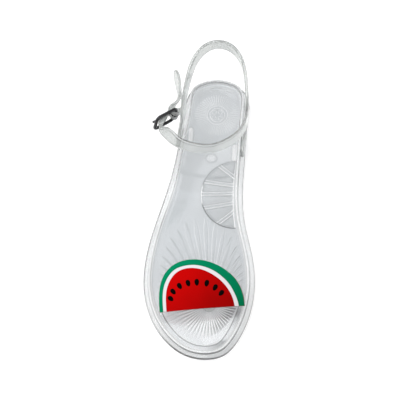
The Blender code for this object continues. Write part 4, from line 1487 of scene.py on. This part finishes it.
def prong_path():
    """A hook round the inner bar that runs out straight over the outer bar."""
    reach = WIRE_RADIUS + GAP + PRONG_RADIUS
    path = []
    for degrees in np.linspace(HOOK_START, HOOK_END, HOOK_STEPS + 1):
        turn = math.radians(degrees)
        path.append(buckle_point(-reach * math.cos(turn), 0.0, reach * math.sin(turn)))
    path.append(buckle_point(FRAME_LENGTH + PRONG_OVERHANG, 0.0, reach))
    return path


def plated_metal(name, colour, worn):
    """Bright plating that is a little paler where it is worn."""
    mat, tree, shader = new_finish(name, {"Metallic": 1.0})
    wear = cloud(tree, METAL_CLOUD_SCALE).step(*METAL_CLOUD)
    feed(shader, mix_colour(tree, wear, colour, worn), METAL_GRAIN)
    return mat


nickel = plated_metal("black_nickel", (0.045, 0.045, 0.048, 1.0), (0.085, 0.085, 0.09, 1.0))
buckle_frame = wire("bright_frame", frame_path(), WIRE_RADIUS, True)
buckle_prong = wire("bright_prong", prong_path(), PRONG_RADIUS, False)
dress(buckle_frame, nickel, "buckle_chrome", "buckle_frame")
dress(buckle_prong, nickel, "buckle_chrome", "buckle_prong")

# %% [markdown]
# ## White studio
# The sandal stands on a white table under a broad soft light from the upper left. The table glows
# a little, so that it stays white behind the clear plastic. A clear thing is drawn by what it
# refracts, so the sky is darker near the horizon: that puts the thin dark outline on it.

# %% Floor and light
WHITE = (1.0, 1.0, 1.0, 1.0)
FLOOR_HALF = 10.0
FLOOR_DROP = 0.0002
FLOOR_SOCKETS = {
    "Base Color": (0.62, 0.62, 0.62, 1.0),
    "Emission Color": WHITE,
    "Emission Strength": 0.45,
    "Roughness": 0.9,
    "Specular IOR Level": 0.1,
}
SKY_STRENGTH = (0.05, 0.6, 0.10, 1.30)
WINDOW_SPOT = (-0.40, 0.25, 1.10)
WINDOW_AIM = (0.0, 0.02, 0.0)
WINDOW_SIZE = 0.8
WINDOW_POWER = 4.0


def make_floor():
    """One broad square, a hair under the tread."""
    mesh = bpy.data.meshes.new("floor")
    half = FLOOR_HALF
    corners = [(-half, -half, 0), (half, -half, 0), (half, half, 0), (-half, half, 0)]
    mesh.from_pydata(corners, [], [(0, 1, 2, 3)])
    thing = put_in_scene("floor", mesh)
    thing.location.z = -FLOOR_DROP
    mesh.materials.append(new_finish("white_floor", FLOOR_SOCKETS)[0])


def make_sky():
    """A white sky that is brighter overhead than at the horizon."""
    world = bpy.data.worlds.new("studio")
    world.use_nodes = True
    tree = world.node_tree
    background = tree.nodes["Background"]
    up = axes(tree, Signal.add(tree, "ShaderNodeTexCoord", output=0))[2]
    tree.links.new(up.ramp(*SKY_STRENGTH).socket, background.inputs["Strength"])
    background.inputs["Color"].default_value = WHITE
    bpy.context.scene.world = world


def make_window():
    """A round soft light that looks at the sandal."""
    light = bpy.data.lights.new("window", "AREA")
    light.shape = "DISK"
    light.size = WINDOW_SIZE
    light.energy = WINDOW_POWER
    thing = put_in_scene("window", light)
    thing.location = WINDOW_SPOT
    way = Vector(WINDOW_AIM) - Vector(WINDOW_SPOT)
    thing.rotation_euler = way.to_track_quat("-Z", "Y").to_euler()


make_floor()
make_sky()
make_window()
bpy.context.scene.view_settings.view_transform = "Standard"
print("studio ready")

# %% Camera
CAMERA_SPOT = (53.4, -101.9, 657.8)
CAMERA_AIM = (-1.1, 139.4, 0.0)
CAMERA_LENS = 72.8
CAMERA_SENSOR = 36.0
CAMERA_NEAR = 0.01


def make_camera():
    """A camera that looks at its aim with its right side level."""
    data = bpy.data.cameras.new("camera")
    data.lens = CAMERA_LENS
    data.sensor_width = CAMERA_SENSOR
    data.clip_start = CAMERA_NEAR
    thing = put_in_scene("camera", data)
    spot = Vector(in_frame(CAMERA_SPOT))
    back = (spot - Vector(in_frame(CAMERA_AIM))).normalized()
    right = Vector((1.0, 0.0, 0.0))
    right = (right - back * right.dot(back)).normalized()
    turn = Matrix((right, back.cross(right), back)).transposed().to_4x4()
    thing.matrix_world = Matrix.Translation(spot) @ turn
    bpy.context.scene.camera = thing
    return spot


print("camera at", make_camera())

# %% [markdown]
# ## End of the scene
